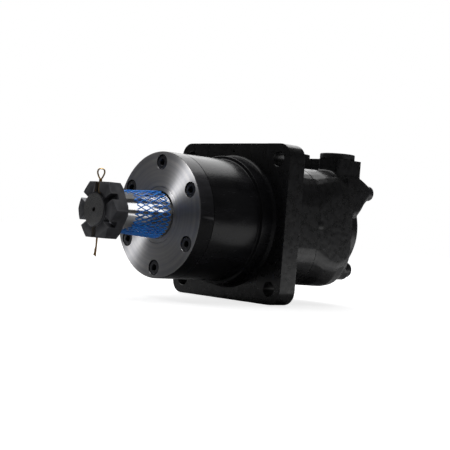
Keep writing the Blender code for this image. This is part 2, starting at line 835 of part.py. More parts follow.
def rotor_outline(y, steps_per_lobe=16):
    """The curve that stays ROLLER_R + LOBE_PLAY inside the path of a roller's centre, as
    seen from the rotor. Real parts are Z, imaginary parts are X."""
    count = ROTOR_LOBES * steps_per_lobe
    points = []
    for i in range(count):
        even = FULL_TURN * i / count
        angle = even - 0.0766 * math.sin(ROTOR_LOBES * even)  # evens out the points' spacing
        turn = cmath.exp(1j * angle)
        orbit = cmath.exp(1j * STATOR_ROLLERS * angle)
        path = ROLLER_RING_R * turn - ORBIT_R * orbit
        along = 1j * (ROLLER_RING_R * turn - STATOR_ROLLERS * ORBIT_R * orbit)
        inward = 1j * along / abs(along)
        place = path + (ROLLER_R + LOBE_PLAY) * inward
        points.append(Vector((place.imag, y, place.real)))
    return points


def rotor():
    half = (STATOR_Y[1] - STATOR_Y[0]) / 2 - 0.0002
    made = loft("rotor", [rotor_outline(-half), rotor_outline(half)], "hardened_steel")
    hole = [spline(y, SPLINE_PLAY) for y in (-half - 0.002, half + 0.002)]
    cut(made, loft("rotor_spline_hole", hole))
    return made


def stator_outline(y):
    """A round bore broken by one round pocket for each roller."""
    # The mouth is where the bore and a pocket meet: a triangle with all three sides known.
    squares = ROLLER_RING_R**2 + STATOR_BORE_R**2 - POCKET_R**2
    mouth = math.acos(squares / (2 * ROLLER_RING_R * STATOR_BORE_R))
    mouth_x = STATOR_BORE_R * math.sin(mouth)
    mouth_z = STATOR_BORE_R * math.cos(mouth)
    start = math.atan2(mouth_x, mouth_z - ROLLER_RING_R)
    points = []
    for i in range(STATOR_ROLLERS):
        centre = FULL_TURN * i / STATOR_ROLLERS
        place = at_angle(ROLLER_RING_R, centre)
        for step in range(9):
            angle = centre - start + 2 * start * step / 8
            points.append(at_angle(POCKET_R, angle, y, place.x, place.z))
        land = FULL_TURN / STATOR_ROLLERS - 2 * mouth
        for step in range(1, 4):
            points.append(at_angle(STATOR_BORE_R, centre + mouth + land * step / 4, y))
    return points


def stator_ring():
    front, rear = STATOR_Y
    made = rod("stator_ring", CARTRIDGE_R, front, rear, "hardened_steel", 32)
    hole = [stator_outline(y) for y in (front - BEYOND, rear + BEYOND)]
    cut(made, loft("stator_hole", hole))
    return made


def stator_rollers():
    half = (STATOR_Y[1] - STATOR_Y[0]) / 2 - 0.0002
    for number, (x, z) in enumerate(ring_places(ROLLER_RING_R, STATOR_ROLLERS), 1):
        roller = rod(f"stator_roller_{number}", ROLLER_R, -half, half, "bearing_steel", 24)
        roller.location = (x, sum(STATOR_Y) / 2, z)


def wear_plate():
    return ring("wear_plate", WEAR_PLATE_BORE_R, CARTRIDGE_R, *WEAR_PLATE_Y, "hardened_steel", 28)


def manifold_plate():
    front, rear = MANIFOLD_Y
    made = ring(
        "manifold_plate", MANIFOLD_BORE_R, CARTRIDGE_R, front, rear, "hardened_steel", 28
    )
    ports = ring_places(MANIFOLD_PORT_RING_R, STATOR_ROLLERS, 0.5)
    cut(made, rod_set("manifold_ports", MANIFOLD_PORT_R, front - BEYOND, rear + BEYOND, ports, 6))
    return made


# Drive link and commutator set


def link_length():
    return sum(STATOR_Y) / 2 - LINK_PIVOT_Y


def link_tilt():
    return math.atan2(ORBIT_R, link_length())


def drive_link():
    """Crowned splines in the shaft and in the rotor, and a round tail in the commutator. Y is
    measured from the front crown."""
    points = 4 * SPLINE_TEETH
    rear = math.hypot(link_length(), ORBIT_R)
    tail = (LINK_TAIL_Y - LINK_PIVOT_Y) / math.cos(link_tilt())
    sections = [
        spline(-0.007, shrink=0.95),
        spline(0),
        spline(0.007, shrink=0.95),
        circle(LINK_BODY_R, 0.0085, points),
        circle(LINK_BODY_R, rear - 0.0095, points),
        spline(rear - 0.008, shrink=0.95),
        spline(rear),
        spline(rear + 0.007, shrink=0.95),
        circle(LINK_TAIL_NECK_R, rear + 0.0085, points),
        circle(LINK_TAIL_NECK_R, tail - 0.0072, points),
        circle(LINK_TAIL_R, tail, points),
        circle(LINK_TAIL_NECK_R, tail + 0.0062, points),
    ]
    return loft("drive_link", sections, "hardened_steel")


def commutator_offset():
    return (LINK_TAIL_Y - LINK_PIVOT_Y) * math.tan(link_tilt())


def commutator():
    front, rear = COMMUTATOR_Y
    bore_r = LINK_TAIL_R + 2 * GAP
    groove, groove_r = 0.0028, (0.0165, 0.0225)
    profile = [
        (bore_r, front),
        (groove_r[0], front),
        (groove_r[0], front + groove),
        (groove_r[1], front + groove),
        (groove_r[1], front),
        (COMMUTATOR_R, front),
        (COMMUTATOR_R, rear),
        (bore_r, rear),
    ]
    made = turned("commutator", profile, "hardened_steel", z=commutator_offset())
    port_r, port_ring_r, port_count = 0.0022, sum(groove_r) / 2, 8
    ports = [(x, z + commutator_offset()) for x, z in ring_places(port_ring_r, port_count)]
    cut(made, rod_set("commutator_ports", port_r, front - BEYOND, rear + BEYOND, ports, 6))
    return made


def balance_set():
    """The plate that the commutator runs on, and the seal ring in its groove."""
    front, rear = BALANCE_PLATE_Y
    bore_r, groove_r, groove_depth = 0.012, (0.0225, 0.0275), 0.003
    profile = [
        (bore_r, front),
        (groove_r[0], front),
        (groove_r[0], front + groove_depth),
        (groove_r[1], front + groove_depth),
        (groove_r[1], front),
        (BALANCE_PLATE_R, front),
        (BALANCE_PLATE_R, rear),
        (bore_r, rear),
    ]
    turned("balance_plate", profile, "hardened_steel")
    seal_y = (front - 0.0008, front + 0.0027)
    ring("commutator_seal", groove_r[0] + GAP, groove_r[1] - GAP, *seal_y, "seal_polymer", 32)


# Valve housing with the ports


def valve_body():
    """The cast body: soft corners at the joint, squarer over the middle, closing in behind."""
    sections = (
        (VALVE_FRONT_Y, 0, 0.040),
        (0.0860, 0, 0.031),
        (0.1040, 0, 0.026),
        (0.1180, 0.0008, 0.030),
        (0.1270, 0.0030, 0.034),
        (0.1325, 0.0070, 0.036),
        (0.1355, 0.0120, 0.036),
    )
    outlines = []
    for y, drawn_in, corner in sections:
        half = VALVE_HALF - drawn_in
        outlines.append(rounded_box(half, half, corner, y))
    return loft("valve_housing", outlines)


def port_block():
    """The raised block with the two ports, its corners rounded and its front face stepped back
    between the ports."""
    front, rear = PORT_BLOCK_Y
    half_y = (rear - front) / 2
    sections = []
    for z, inset in ((0.030, 0), (PORT_TOP_Z - 0.0008, 0), (PORT_TOP_Z, 0.0008)):
        outline = rounded_box(PORT_BLOCK_HALF_X - inset, half_y - inset, 0.0045, -z, steps=3)
        sections.append(outline)
    made = loft("port_block", sections)
    made.data.transform(Matrix.Rotation(-math.pi / 2, 4, "X"))
    made.data.transform(Matrix.Translation((0, front + half_y, 0)))
    web = PORT_WEB_HALF_X
    cut(made, block("port_web", (-web, web), (front - 0.01, front + PORT_WEB_DEPTH), (0.02, 0.09)))
    return made


def upper_boss(number, x):
    """A flared boss that carries the head of a long tie bolt."""
    side = math.copysign(1, x)
    sections = (  # y, half width, low z, high z, corner radius
        (0.122, 0.0130, 0.012, 0.0600, 0.010),
        (0.140, 0.0130, 0.014, 0.0600, 0.010),
        (0.1475, 0.0125, 0.019, 0.0585, 0.0105),
        (0.1540, 0.0112, 0.0265, 0.0565, 0.0105),
        (UPPER_SEAT_Y, 0.0095, 0.0335, 0.0525, 0.0094),
    )
    outlines = []
    for y, half_x, low, high, corner in sections:
        half_z, middle_x = (high - low) / 2, x - side * GAP
        outline = rounded_box(half_x, half_z, corner, y, middle_x, low + half_z, steps=3)
        outlines.append(outline)
    return loft(f"upper_boss_{number}", outlines)


def oil_ways(body):
    """Port A feeds the space round the commutator through a gallery, port B the rear chamber."""
    for name, side, floor_z in (("a", 1, 0.034), ("b", -1, 0.006)):
        x = side * PASSAGE_X
        cut(
            body,
            upright_rod(f"port_{name}_thread", PORT_THREAD_R, 0.054, 0.09, side * PORT_X, PORT_Y),
            upright_rod(f"port_{name}_passage", PASSAGE_R, floor_z, 0.058, x, PORT_Y, segments=16),
        )
    cut(body, rod("gallery", GALLERY_R, 0.080, PORT_Y, x=PASSAGE_X, z=0.0385, segments=16))


def valve_housing():
    made = valve_body()
    boss = [
        (0, 0.12),
        (REAR_BOSS_R, 0.12),
        (REAR_BOSS_R, 0.1400),
        (REAR_BOSS_R - 0.0008, 0.1424),
        (REAR_BOSS_R - 0.0030, REAR_FACE_Y),
        (0, REAR_FACE_Y),
    ]
    add(made, turned("rear_boss", boss, segments=32), port_block())
    for number, (x, z) in enumerate(TIE_BOLT_PLACES, 1):
        if z > 0:
            add(made, upper_boss(number, x))
        else:
            add(made, rod(f"lower_boss_{number}", LOWER_BOSS_R, 0.105, LOWER_SEAT_Y, x=x, z=z))
    step_y, chamber_y = COMMUTATOR_RING_Y[1] + 0.0004, BALANCE_PLATE_Y[1] + 0.0005
    cavity = [
        (0, VALVE_FRONT_Y - BEYOND),
        (COMMUTATOR_CAVITY_R, VALVE_FRONT_Y - BEYOND),
        (COMMUTATOR_CAVITY_R, step_y),
        (BALANCE_BORE_R, step_y),
        (BALANCE_BORE_R, chamber_y),
        (CHAMBER_R, chamber_y),
        (CHAMBER_R, REAR_COUNTERBORE_Y),
        (REAR_COUNTERBORE_R, REAR_COUNTERBORE_Y),
        (REAR_COUNTERBORE_R, REAR_FACE_Y + BEYOND),
        (0, REAR_FACE_Y + BEYOND),
    ]
    groove_y = (VALVE_FRONT_Y - BEYOND, VALVE_FRONT_Y + 2 * ORING_GROOVE_HALF)
    cut(
        made,
        turned("valve_cavity", cavity, segments=24),
        ring("oring_groove", *HOUSING_ORING_GROOVE_R, *groove_y, "cast_black", 24),
    )
    oil_ways(made)
    lower_places = [place for place in TIE_BOLT_PLACES if place[1] < 0]
    past_rear = UPPER_SEAT_Y + BEYOND
    rear_thread_y = (REAR_SCREW_TIP_Y - 0.003, REAR_COUNTERBORE_Y + BEYOND)
    cut(
        made,
        rod_set("spot_faces", TIE_HEAD_R + 0.001, LOWER_SEAT_Y, past_rear, lower_places, 12),
        rod_set("tie_holes", TIE_HOLE_R, VALVE_FRONT_Y - BEYOND, past_rear, TIE_BOLT_PLACES),
        rod_set("rear_threads", REAR_SCREW_R + GAP, *rear_thread_y, REAR_SCREW_PLACES),
    )
    drain = rod("drain_bore", DRAIN_THREAD_R + GAP, DRAIN_TIP_X - 0.002, 0.07, segments=18)
    drain.data.transform(Matrix.Rotation(math.pi / 2, 4, "Z"))
    drain.data.transform(Matrix.Translation((0, DRAIN_Y, 0)))
    cut(made, drain)
    return made


# Fasteners, plugs and cover at the valve end


def tie_bolts():
    for number, place in enumerate(TIE_BOLT_PLACES, 1):
        seat = (UPPER_SEAT_Y if place[1] > 0 else LOWER_SEAT_Y) + GAP
        screw(
            f"tie_bolt_{number}",
            (TIE_BOLT_R, TIE_HEAD_R, 0.0046),
            (TIE_TIP_Y, seat, seat + TIE_HEAD_LENGTH),
            "cast_black",
            place,
        )


def port_plug(name, side):
    """A flanged plastic plug: a turned button over a stub that fills the port's thread."""
    tip_z, edge = 0.0560, 0.0008
    profile = [
        (0, tip_z),
        (PORT_THREAD_R - edge, tip_z),
        (PORT_THREAD_R - GAP, tip_z + edge),
        (PORT_THREAD_R - GAP, PORT_TOP_Z + GAP),
        (PLUG_R, PORT_TOP_Z + GAP),
        (PLUG_R, PLUG_TOP_Z - edge),
        (PLUG_R - edge, PLUG_TOP_Z),
        (0, PLUG_TOP_Z),
    ]
    made = turned(name, profile, "plug_plastic", 20)
    made.data.transform(Matrix.Rotation(math.pi / 2, 4, "X"))
    made.data.transform(Matrix.Translation((side * PORT_X, PORT_Y, 0)))
    return made


REAR_SCREW_PLACES = ring_places(REAR_SCREW_RING_R, REAR_SCREW_COUNT)


def rear_cover_set():
    """The plate that closes the rear chamber, its O-ring and its screws."""
    front = REAR_COUNTERBORE_Y + GAP
    rear = REAR_FACE_Y + 0.0012
    spigot_r = CHAMBER_R - GAP
    groove_r, edge = spigot_r - ORING_GROOVE_DEPTH, 0.0008
    profile = [
        (0, REAR_SPIGOT_Y),
        (spigot_r, REAR_SPIGOT_Y),
        (spigot_r, REAR_ORING_Y - ORING_GROOVE_HALF),
        (groove_r, REAR_ORING_Y - ORING_GROOVE_HALF),
        (groove_r, REAR_ORING_Y + ORING_GROOVE_HALF),
        (spigot_r, REAR_ORING_Y + ORING_GROOVE_HALF),
        (spigot_r, front),
        (REAR_COVER_R, front),
        (REAR_COVER_R, rear - edge),
        (REAR_COVER_R - edge, rear),
        (0, rear),
    ]
    cover = turned("rear_cover", profile, "machined_black", 24)
    oring_r = groove_r + ORING_SEAT
    torus("rear_cover_oring", oring_r, ORING_WIRE_R, REAR_ORING_Y, "seal_rubber")
    seat = REAR_SCREW_SEAT_Y
    hole_y, counterbore_y = (REAR_SPIGOT_Y, rear + BEYOND), (seat - GAP, rear + BEYOND)
    counterbore_r = REAR_SCREW_HEAD_R + 2 * GAP
    cut(
        cover,
        rod_set("rear_holes", REAR_SCREW_R + GAP, *hole_y, REAR_SCREW_PLACES),
        rod_set("rear_counterbores", counterbore_r, *counterbore_y, REAR_SCREW_PLACES, 10),
    )
    for number, place in enumerate(REAR_SCREW_PLACES, 1):
        screw(
            f"rear_cover_screw_{number}",
            (REAR_SCREW_R, REAR_SCREW_HEAD_R, 0.0025),
            (REAR_SCREW_TIP_Y, seat, seat + REAR_SCREW_HEAD_LENGTH),
            "oxide_steel",
            place,
        )


def case_drain_plug():
    """A hexagon-headed plug on the -X side."""
    seat_x, top_x = DRAIN_HEAD_X
    in_head_x = (seat_x + top_x) / 2
    shank = rod("case_drain_plug", DRAIN_THREAD_R, DRAIN_TIP_X, in_head_x, "oxide_steel", 18)
    add(shank, rod("drain_head", DRAIN_HEAD_R, seat_x, top_x, segments=6))
    for piece in (shank, shank.modifiers[0].object):
        piece.data.transform(Matrix.Rotation(math.pi / 2, 4, "Z"))
        piece.data.transform(Matrix.Translation((0, DRAIN_Y, 0)))
    return shank


def main():
    clear_scene()

    shaft_axis = axis_empty("shaft_spin_axis")
    front_cup, front_cone, front_rollers = tapered_bearing("front_bearing", *FRONT_BEARING_Y)
    rear_cup, rear_cone, rear_rollers = tapered_bearing("rear_bearing", *REAR_BEARING_Y)
    hang(
        shaft_axis,
        output_shaft(),
        shaft_key(),
        castle_nut(),
        cotter_pin(),
        shaft_net_sleeve(),
        front_cone,
        rear_cone,
        bearing_lock_nut(),
    )
    hang(axis_empty("front_cage_axis"), front_rollers)
    hang(axis_empty("rear_cage_axis"), rear_rollers)

    front_cover()
    cover_screws()
    shaft_seals()
    bearing_housing()

    wear_plate()
    stator_ring()
    stator_rollers()
    manifold_plate()
    orbit_axis = axis_empty("rotor_orbit_axis")
    hang(orbit_axis, commutator())
    rotor_axis = axis_empty("rotor_spin_axis", (0, sum(STATOR_Y) / 2, ORBIT_R), parent=orbit_axis)
    hang(rotor_axis, rotor())
    link_axis = axis_empty("link_spin_axis", (0, LINK_PIVOT_Y, 0), link_tilt(), orbit_axis)
    hang(link_axis, drive_link())
    ring("commutator_ring", *COMMUTATOR_RING_R, *COMMUTATOR_RING_Y, "hardened_steel")
    balance_set()
    oring_r, oring_y = sum(HOUSING_ORING_GROOVE_R) / 2, VALVE_FRONT_Y + ORING_GROOVE_HALF
    torus("housing_oring", oring_r, ORING_WIRE_R, oring_y, "seal_rubber", 28)

    valve_housing()
    tie_bolts()
    port_plug("port_plug_a", 1)
    port_plug("port_plug_b", -1)
    rear_cover_set()
    case_drain_plug()


main()
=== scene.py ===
"""Looks of the orbital hydraulic wheel motor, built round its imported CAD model.

Metres, in the CAD's frame: the origin is the centre of the flange's mounting face, the output
shaft points along -Y, the valve end along +Y and the two ports along +Z.
"""

import json
import math

import bmesh
import bpy
from mathutils import Matrix, Vector, noise


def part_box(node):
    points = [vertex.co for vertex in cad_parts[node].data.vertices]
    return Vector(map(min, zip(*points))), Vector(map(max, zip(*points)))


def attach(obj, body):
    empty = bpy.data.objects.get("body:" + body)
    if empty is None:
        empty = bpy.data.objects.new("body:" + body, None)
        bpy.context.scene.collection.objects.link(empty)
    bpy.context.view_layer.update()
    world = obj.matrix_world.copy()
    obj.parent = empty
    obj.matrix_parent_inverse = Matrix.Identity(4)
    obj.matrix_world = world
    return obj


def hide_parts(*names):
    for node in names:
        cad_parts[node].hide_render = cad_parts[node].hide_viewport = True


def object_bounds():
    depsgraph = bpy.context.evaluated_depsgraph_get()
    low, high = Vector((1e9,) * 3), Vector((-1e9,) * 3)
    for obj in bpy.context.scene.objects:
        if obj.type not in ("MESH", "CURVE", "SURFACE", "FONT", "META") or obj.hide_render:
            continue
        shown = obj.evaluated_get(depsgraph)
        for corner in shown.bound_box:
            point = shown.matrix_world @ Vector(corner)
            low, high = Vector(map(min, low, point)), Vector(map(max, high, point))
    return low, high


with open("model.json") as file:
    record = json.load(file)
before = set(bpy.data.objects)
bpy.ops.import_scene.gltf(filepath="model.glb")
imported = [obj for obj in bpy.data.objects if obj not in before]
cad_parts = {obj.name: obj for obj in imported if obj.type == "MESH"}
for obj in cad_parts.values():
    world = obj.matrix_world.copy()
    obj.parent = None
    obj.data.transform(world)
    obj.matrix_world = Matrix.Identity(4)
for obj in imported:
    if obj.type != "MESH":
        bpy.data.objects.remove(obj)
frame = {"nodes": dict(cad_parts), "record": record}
cad_low, cad_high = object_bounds()

FULL_TURN = 2 * math.pi
QUARTER = math.pi / 2
BEYOND = 0.003  # how far a cutter reaches past the surface it cuts
PLAY = 0.0003  # gap between neighbouring pieces


def low(node):
    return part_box(node)[0]


def high(node):
    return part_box(node)[1]


def middle(node):
    return (low(node) + high(node)) / 2


# Driving sizes, read from the frame
FLANGE_HALF = high("bearing_housing").x
HOUSING_FRONT_Y = low("bearing_housing").y
HOUSING_REAR_Y = high("bearing_housing").y
BARREL_R = high("front_cover").x
COVER_FRONT_Y = low("front_cover").y
COVER_REAR_Y = high("front_cover").y
SHAFT_END_Y = low("output_shaft").y
SHAFT_REAR_Y = high("output_shaft").y
COLLAR_R = high("output_shaft").x
NUT_FRONT_Y, NUT_REAR_Y = low("castle_nut").y, high("castle_nut").y
NUT_FLATS = high("castle_nut").z - low("castle_nut").z
NET_FRONT_Y, NET_REAR_Y = low("shaft_net_sleeve").y, high("shaft_net_sleeve").y
VALVE_FRONT_Y = low("valve_housing").y
VALVE_HALF = high("valve_housing").x
PORT_TOP_Z = high("valve_housing").z
CARTRIDGE_R = high("stator_ring").x
PORT_PLACE = middle("port_plug_a")
PLUG_R = high("port_plug_a").x - PORT_PLACE.x
PLUG_TOP_Z = high("port_plug_a").z
TIE_OFFSET = middle("tie_bolt_1").x
TIE_HEAD_R = high("tie_bolt_1").x - TIE_OFFSET

# Sizes that the boxes don't hold
FLANGE_THICK = 0.0229
FLANGE_CORNER_R = 0.014
FLANGE_HOLE_OFFSET = 0.0651
FLANGE_HOLE_R = 0.00725
PILOT_R = 0.066
PILOT_FOOT_R = 0.0702
PILOT_LENGTH = 0.0165
NECK_CORNER_R = 0.040
BEARING_BORE_R = 0.045
BEARING_SHOULDER_R = 0.041
COVER_SCREW_RING_R = 0.0518
THREAD_R = 0.015875
THREAD_PITCH = 0.0021
THREAD_DEPTH = 0.0011
TAPER_LARGE_R = 0.022225
TAPER_START_Y = -0.097
TAPER_END_Y = -0.1545
TAPER_SLOPE = 1 / 16
PIN_Y = -0.1685
PIN_HOLE_R = 0.0019
REAR_SCREW_RING_R = 0.037
SCREW_HOLE_R = 0.0046
TIE_HOLE_R = 0.0055
TIE_HEAD = 0.0088  # length of a tie bolt's head
VALVE_REAR_Y = 0.1444
REAR_HOLE_R = 0.0033


# Outlines are lists of points round the Y direction, from +Z towards +X.


def at_angle(radius, angle, y=0, x=0, z=0):
    return Vector((x + radius * math.sin(angle), y, z + radius * math.cos(angle)))


def hexagon(corner_r, y, shift=0.0):
    return [at_angle(corner_r, FULL_TURN * (i + shift) / 6, y) for i in range(6)]


def rounded_box(half_x, half_z, corner, y, x=0, z=0, steps=8):
    """A rectangle with round corners, with steps + 1 points in each corner."""
    points = []
    for quarter in range(4):
        side_x = 1 if quarter in (0, 1) else -1
        side_z = 1 if quarter in (0, 3) else -1
        centre_x = x + side_x * (half_x - corner)
        centre_z = z + side_z * (half_z - corner)
        for step in range(steps + 1):
            points.append(at_angle(corner, QUARTER * (quarter + step / steps), y, centre_x, centre_z))
    return points


def corner_places(offset):
    """(x, z) from the upper +X corner, clockwise as seen looking along +Y."""
    return [(x * offset, z * offset) for x, z in ((1, 1), (1, -1), (-1, -1), (-1, 1))]


def ring_places(radius, count):
    places = [at_angle(radius, FULL_TURN * i / count) for i in range(count)]
    return [(place.x, place.z) for place in places]


def eased(profile, radius, steps=3):
    """A lathe profile with its corners rounded. A third number on a corner is its own radius."""
    made = [profile[0][:2]]
    for before, here, after in zip(profile, profile[1:], profile[2:]):
        corner = Vector(here[:2])
        back, ahead = Vector(before[:2]) - corner, Vector(after[:2]) - corner
        wanted = here[2] if len(here) > 2 else radius
        opening = back.angle(ahead)
        reach = min(wanted / math.tan(opening / 2), 0.45 * back.length, 0.45 * ahead.length)
        if reach < 1e-6 or math.pi - opening < 0.05:
            made.append(here[:2])
            continue
        first, last = corner + back.normalized() * reach, corner + ahead.normalized() * reach
        centre = corner + (back.normalized() + ahead.normalized()).normalized() * (
            reach / math.cos(opening / 2)
        )
        start, end = first - centre, last - centre
        for step in range(steps + 1):
            spoke = start.normalized().slerp(end.normalized(), step / steps) * start.length
            made.append(tuple(centre + spoke))
    made.append(profile[-1][:2])
    return made


# Bodies


def link(name, mesh):
    made = bpy.data.objects.new(name, mesh)
    bpy.context.scene.collection.objects.link(made)
    return made


def finish_mesh(name, shape, sharp=32):
    """Turns a bmesh into an object with its faces outward and its round faces smooth."""
    bmesh.ops.recalc_face_normals(shape, faces=shape.faces)
    mesh = bpy.data.meshes.new(name)
    shape.to_mesh(mesh)
    shape.free()
    mesh.shade_smooth()
    mesh.set_sharp_from_angle(angle=math.radians(sharp))
    return link(name, mesh)


def skin(shape, loops, closed=False):
    """Faces between rings of vertices that all have the same number of them."""
    pairs = list(zip(loops, loops[1:]))
    if closed:
        pairs.append((loops[-1], loops[0]))
    else:
        shape.faces.new(loops[0])
        shape.faces.new(loops[-1])
    for near, far in pairs:
        for i in range(len(near)):
            j = (i + 1) % len(near)
            shape.faces.new((near[i], near[j], far[j], far[i]))


def loft(name, sections, closed=False):
    shape = bmesh.new()
    skin(shape, [[shape.verts.new(point) for point in section] for section in sections], closed)
    return finish_mesh(name, shape)


def turned(name, profile, segments=96, x=0, z=0, bend=None):
    """A body of revolution about Y from (radius, y) pairs. A solid starts and ends at radius 0,
    and a ring is a closed loop clear of the axis. bend(radius, y, angle) may change a radius."""
    solid = profile[0][0] == 0
    if solid:
        profile = profile[1:-1]
    shape = bmesh.new()
    loops = []
    for radius, y in profile:
        loop = []
        for i in range(segments):
            angle = FULL_TURN * i / segments
            here = bend(radius, y, angle) if bend else radius
            loop.append(shape.verts.new(at_angle(here, angle, y, x, z)))
        loops.append(loop)
    skin(shape, loops, closed=not solid)
    return finish_mesh(name, shape)


def rod(radius, y0, y1, segments=32, x=0, z=0, flare=0.0):
    """A plain rod, mostly used as a cutter. flare widens its y0 end by a 45 degree chamfer."""
    profile = [(0, y0), (radius, y0), (radius, y1), (0, y1)]
    if flare:
        way = math.copysign(flare, y1 - y0)
        profile = [
            (0, y0 - way),
            (radius + 2 * flare, y0 - way),
            (radius, y0 + way),
            (radius, y1),
            (0, y1),
        ]
    return turned("rod", profile, segments, x, z)


def block(x, y, z):
    """A rectangular body between two values on each axis."""
    outline = [(x[0], z[1]), (x[1], z[1]), (x[1], z[0]), (x[0], z[0])]
    return loft("block", [[Vector((px, py, pz)) for px, pz in outline] for py in y])


def upright(body, x=0, y=0, flip=False):
    """Stands a body made along Y at (x, y), its +Y end up, or its -Y end if flipped."""
    turn = Matrix.Rotation(-QUARTER if flip else QUARTER, 4, "X")
    body.data.transform(Matrix.Translation((x, y, 0)) @ turn)
    return body


def sideways(body, y):
    """Turns a body made along Y to point along -X, at this y."""
    body.data.transform(Matrix.Translation((0, y, 0)) @ Matrix.Rotation(QUARTER, 4, "Z"))
    return body


def spun(body, angle):
    body.data.transform(Matrix.Rotation(angle, 4, "Y"))
    return body


def apply(body):
    """Replaces an object's mesh by what its modifiers make of it."""
    graph = bpy.context.evaluated_depsgraph_get()
    mesh = bpy.data.meshes.new_from_object(body.evaluated_get(graph), depsgraph=graph)
    body.modifiers.clear()
    body.data = mesh
    return body


def join(name, bodies):
    """One object from several closed bodies, which may overlap."""
    shape = bmesh.new()
    for body in bodies:
        shape.from_mesh(body.data)
        bpy.data.objects.remove(body)
    mesh = bpy.data.meshes.new(name)
    shape.to_mesh(mesh)
    shape.free()
    return link(name, mesh)


def boolean(body, tools, operation="DIFFERENCE"):
    """Cuts the tools from the body, or unites them with it, and removes them."""
    for tool in tools:
        modifier = body.modifiers.new("boolean", "BOOLEAN")
        modifier.operation = operation
        modifier.solver = "MANIFOLD"
        modifier.object = tool
    apply(body)
    for tool in tools:
        bpy.data.objects.remove(tool)
    return body


def cut(body, *tools):
    return boolean(body, tools)


def crisp(body, edge=0.0, segments=2, sharp=32):
    """Small bevels on the hard edges, if edge is given, and normals that keep flat faces flat."""
    body.data.shade_smooth()
    if edge:
        modifier = body.modifiers.new("edges", "BEVEL")
        modifier.width = edge
        modifier.segments = segments
        modifier.limit_method = "ANGLE"
        modifier.angle_limit = math.radians(40)
        modifier.use_clamp_overlap = True
        apply(body)
    body.data.set_sharp_from_angle(angle=math.radians(sharp))
    modifier = body.modifiers.new("normals", "WEIGHTED_NORMAL")
    modifier.keep_sharp = True
    return body


def cast(name, bodies, voxel, rounds, grain):
    """Bodies melted into one casting, with fillets where they meet and a faintly uneven skin."""
    made = join(name, bodies)
    remesh = made.modifiers.new("melt", "REMESH")
    remesh.mode = "VOXEL"
    remesh.voxel_size = voxel
    smooth = made.modifiers.new("fillets", "SMOOTH")
    smooth.factor = 0.5
    smooth.iterations = rounds
    apply(made)
    mesh = made.data
    normals = [vertex.normal.copy() for vertex in mesh.vertices]
    for vertex, normal in zip(mesh.vertices, normals):
        wide = noise.noise(vertex.co / 0.018)
        fine = noise.noise(vertex.co / 0.0045 + Vector((7, 3, 1)))
        vertex.co += normal * grain * (0.6 * wide + 0.4 * fine)
    return made


# Materials


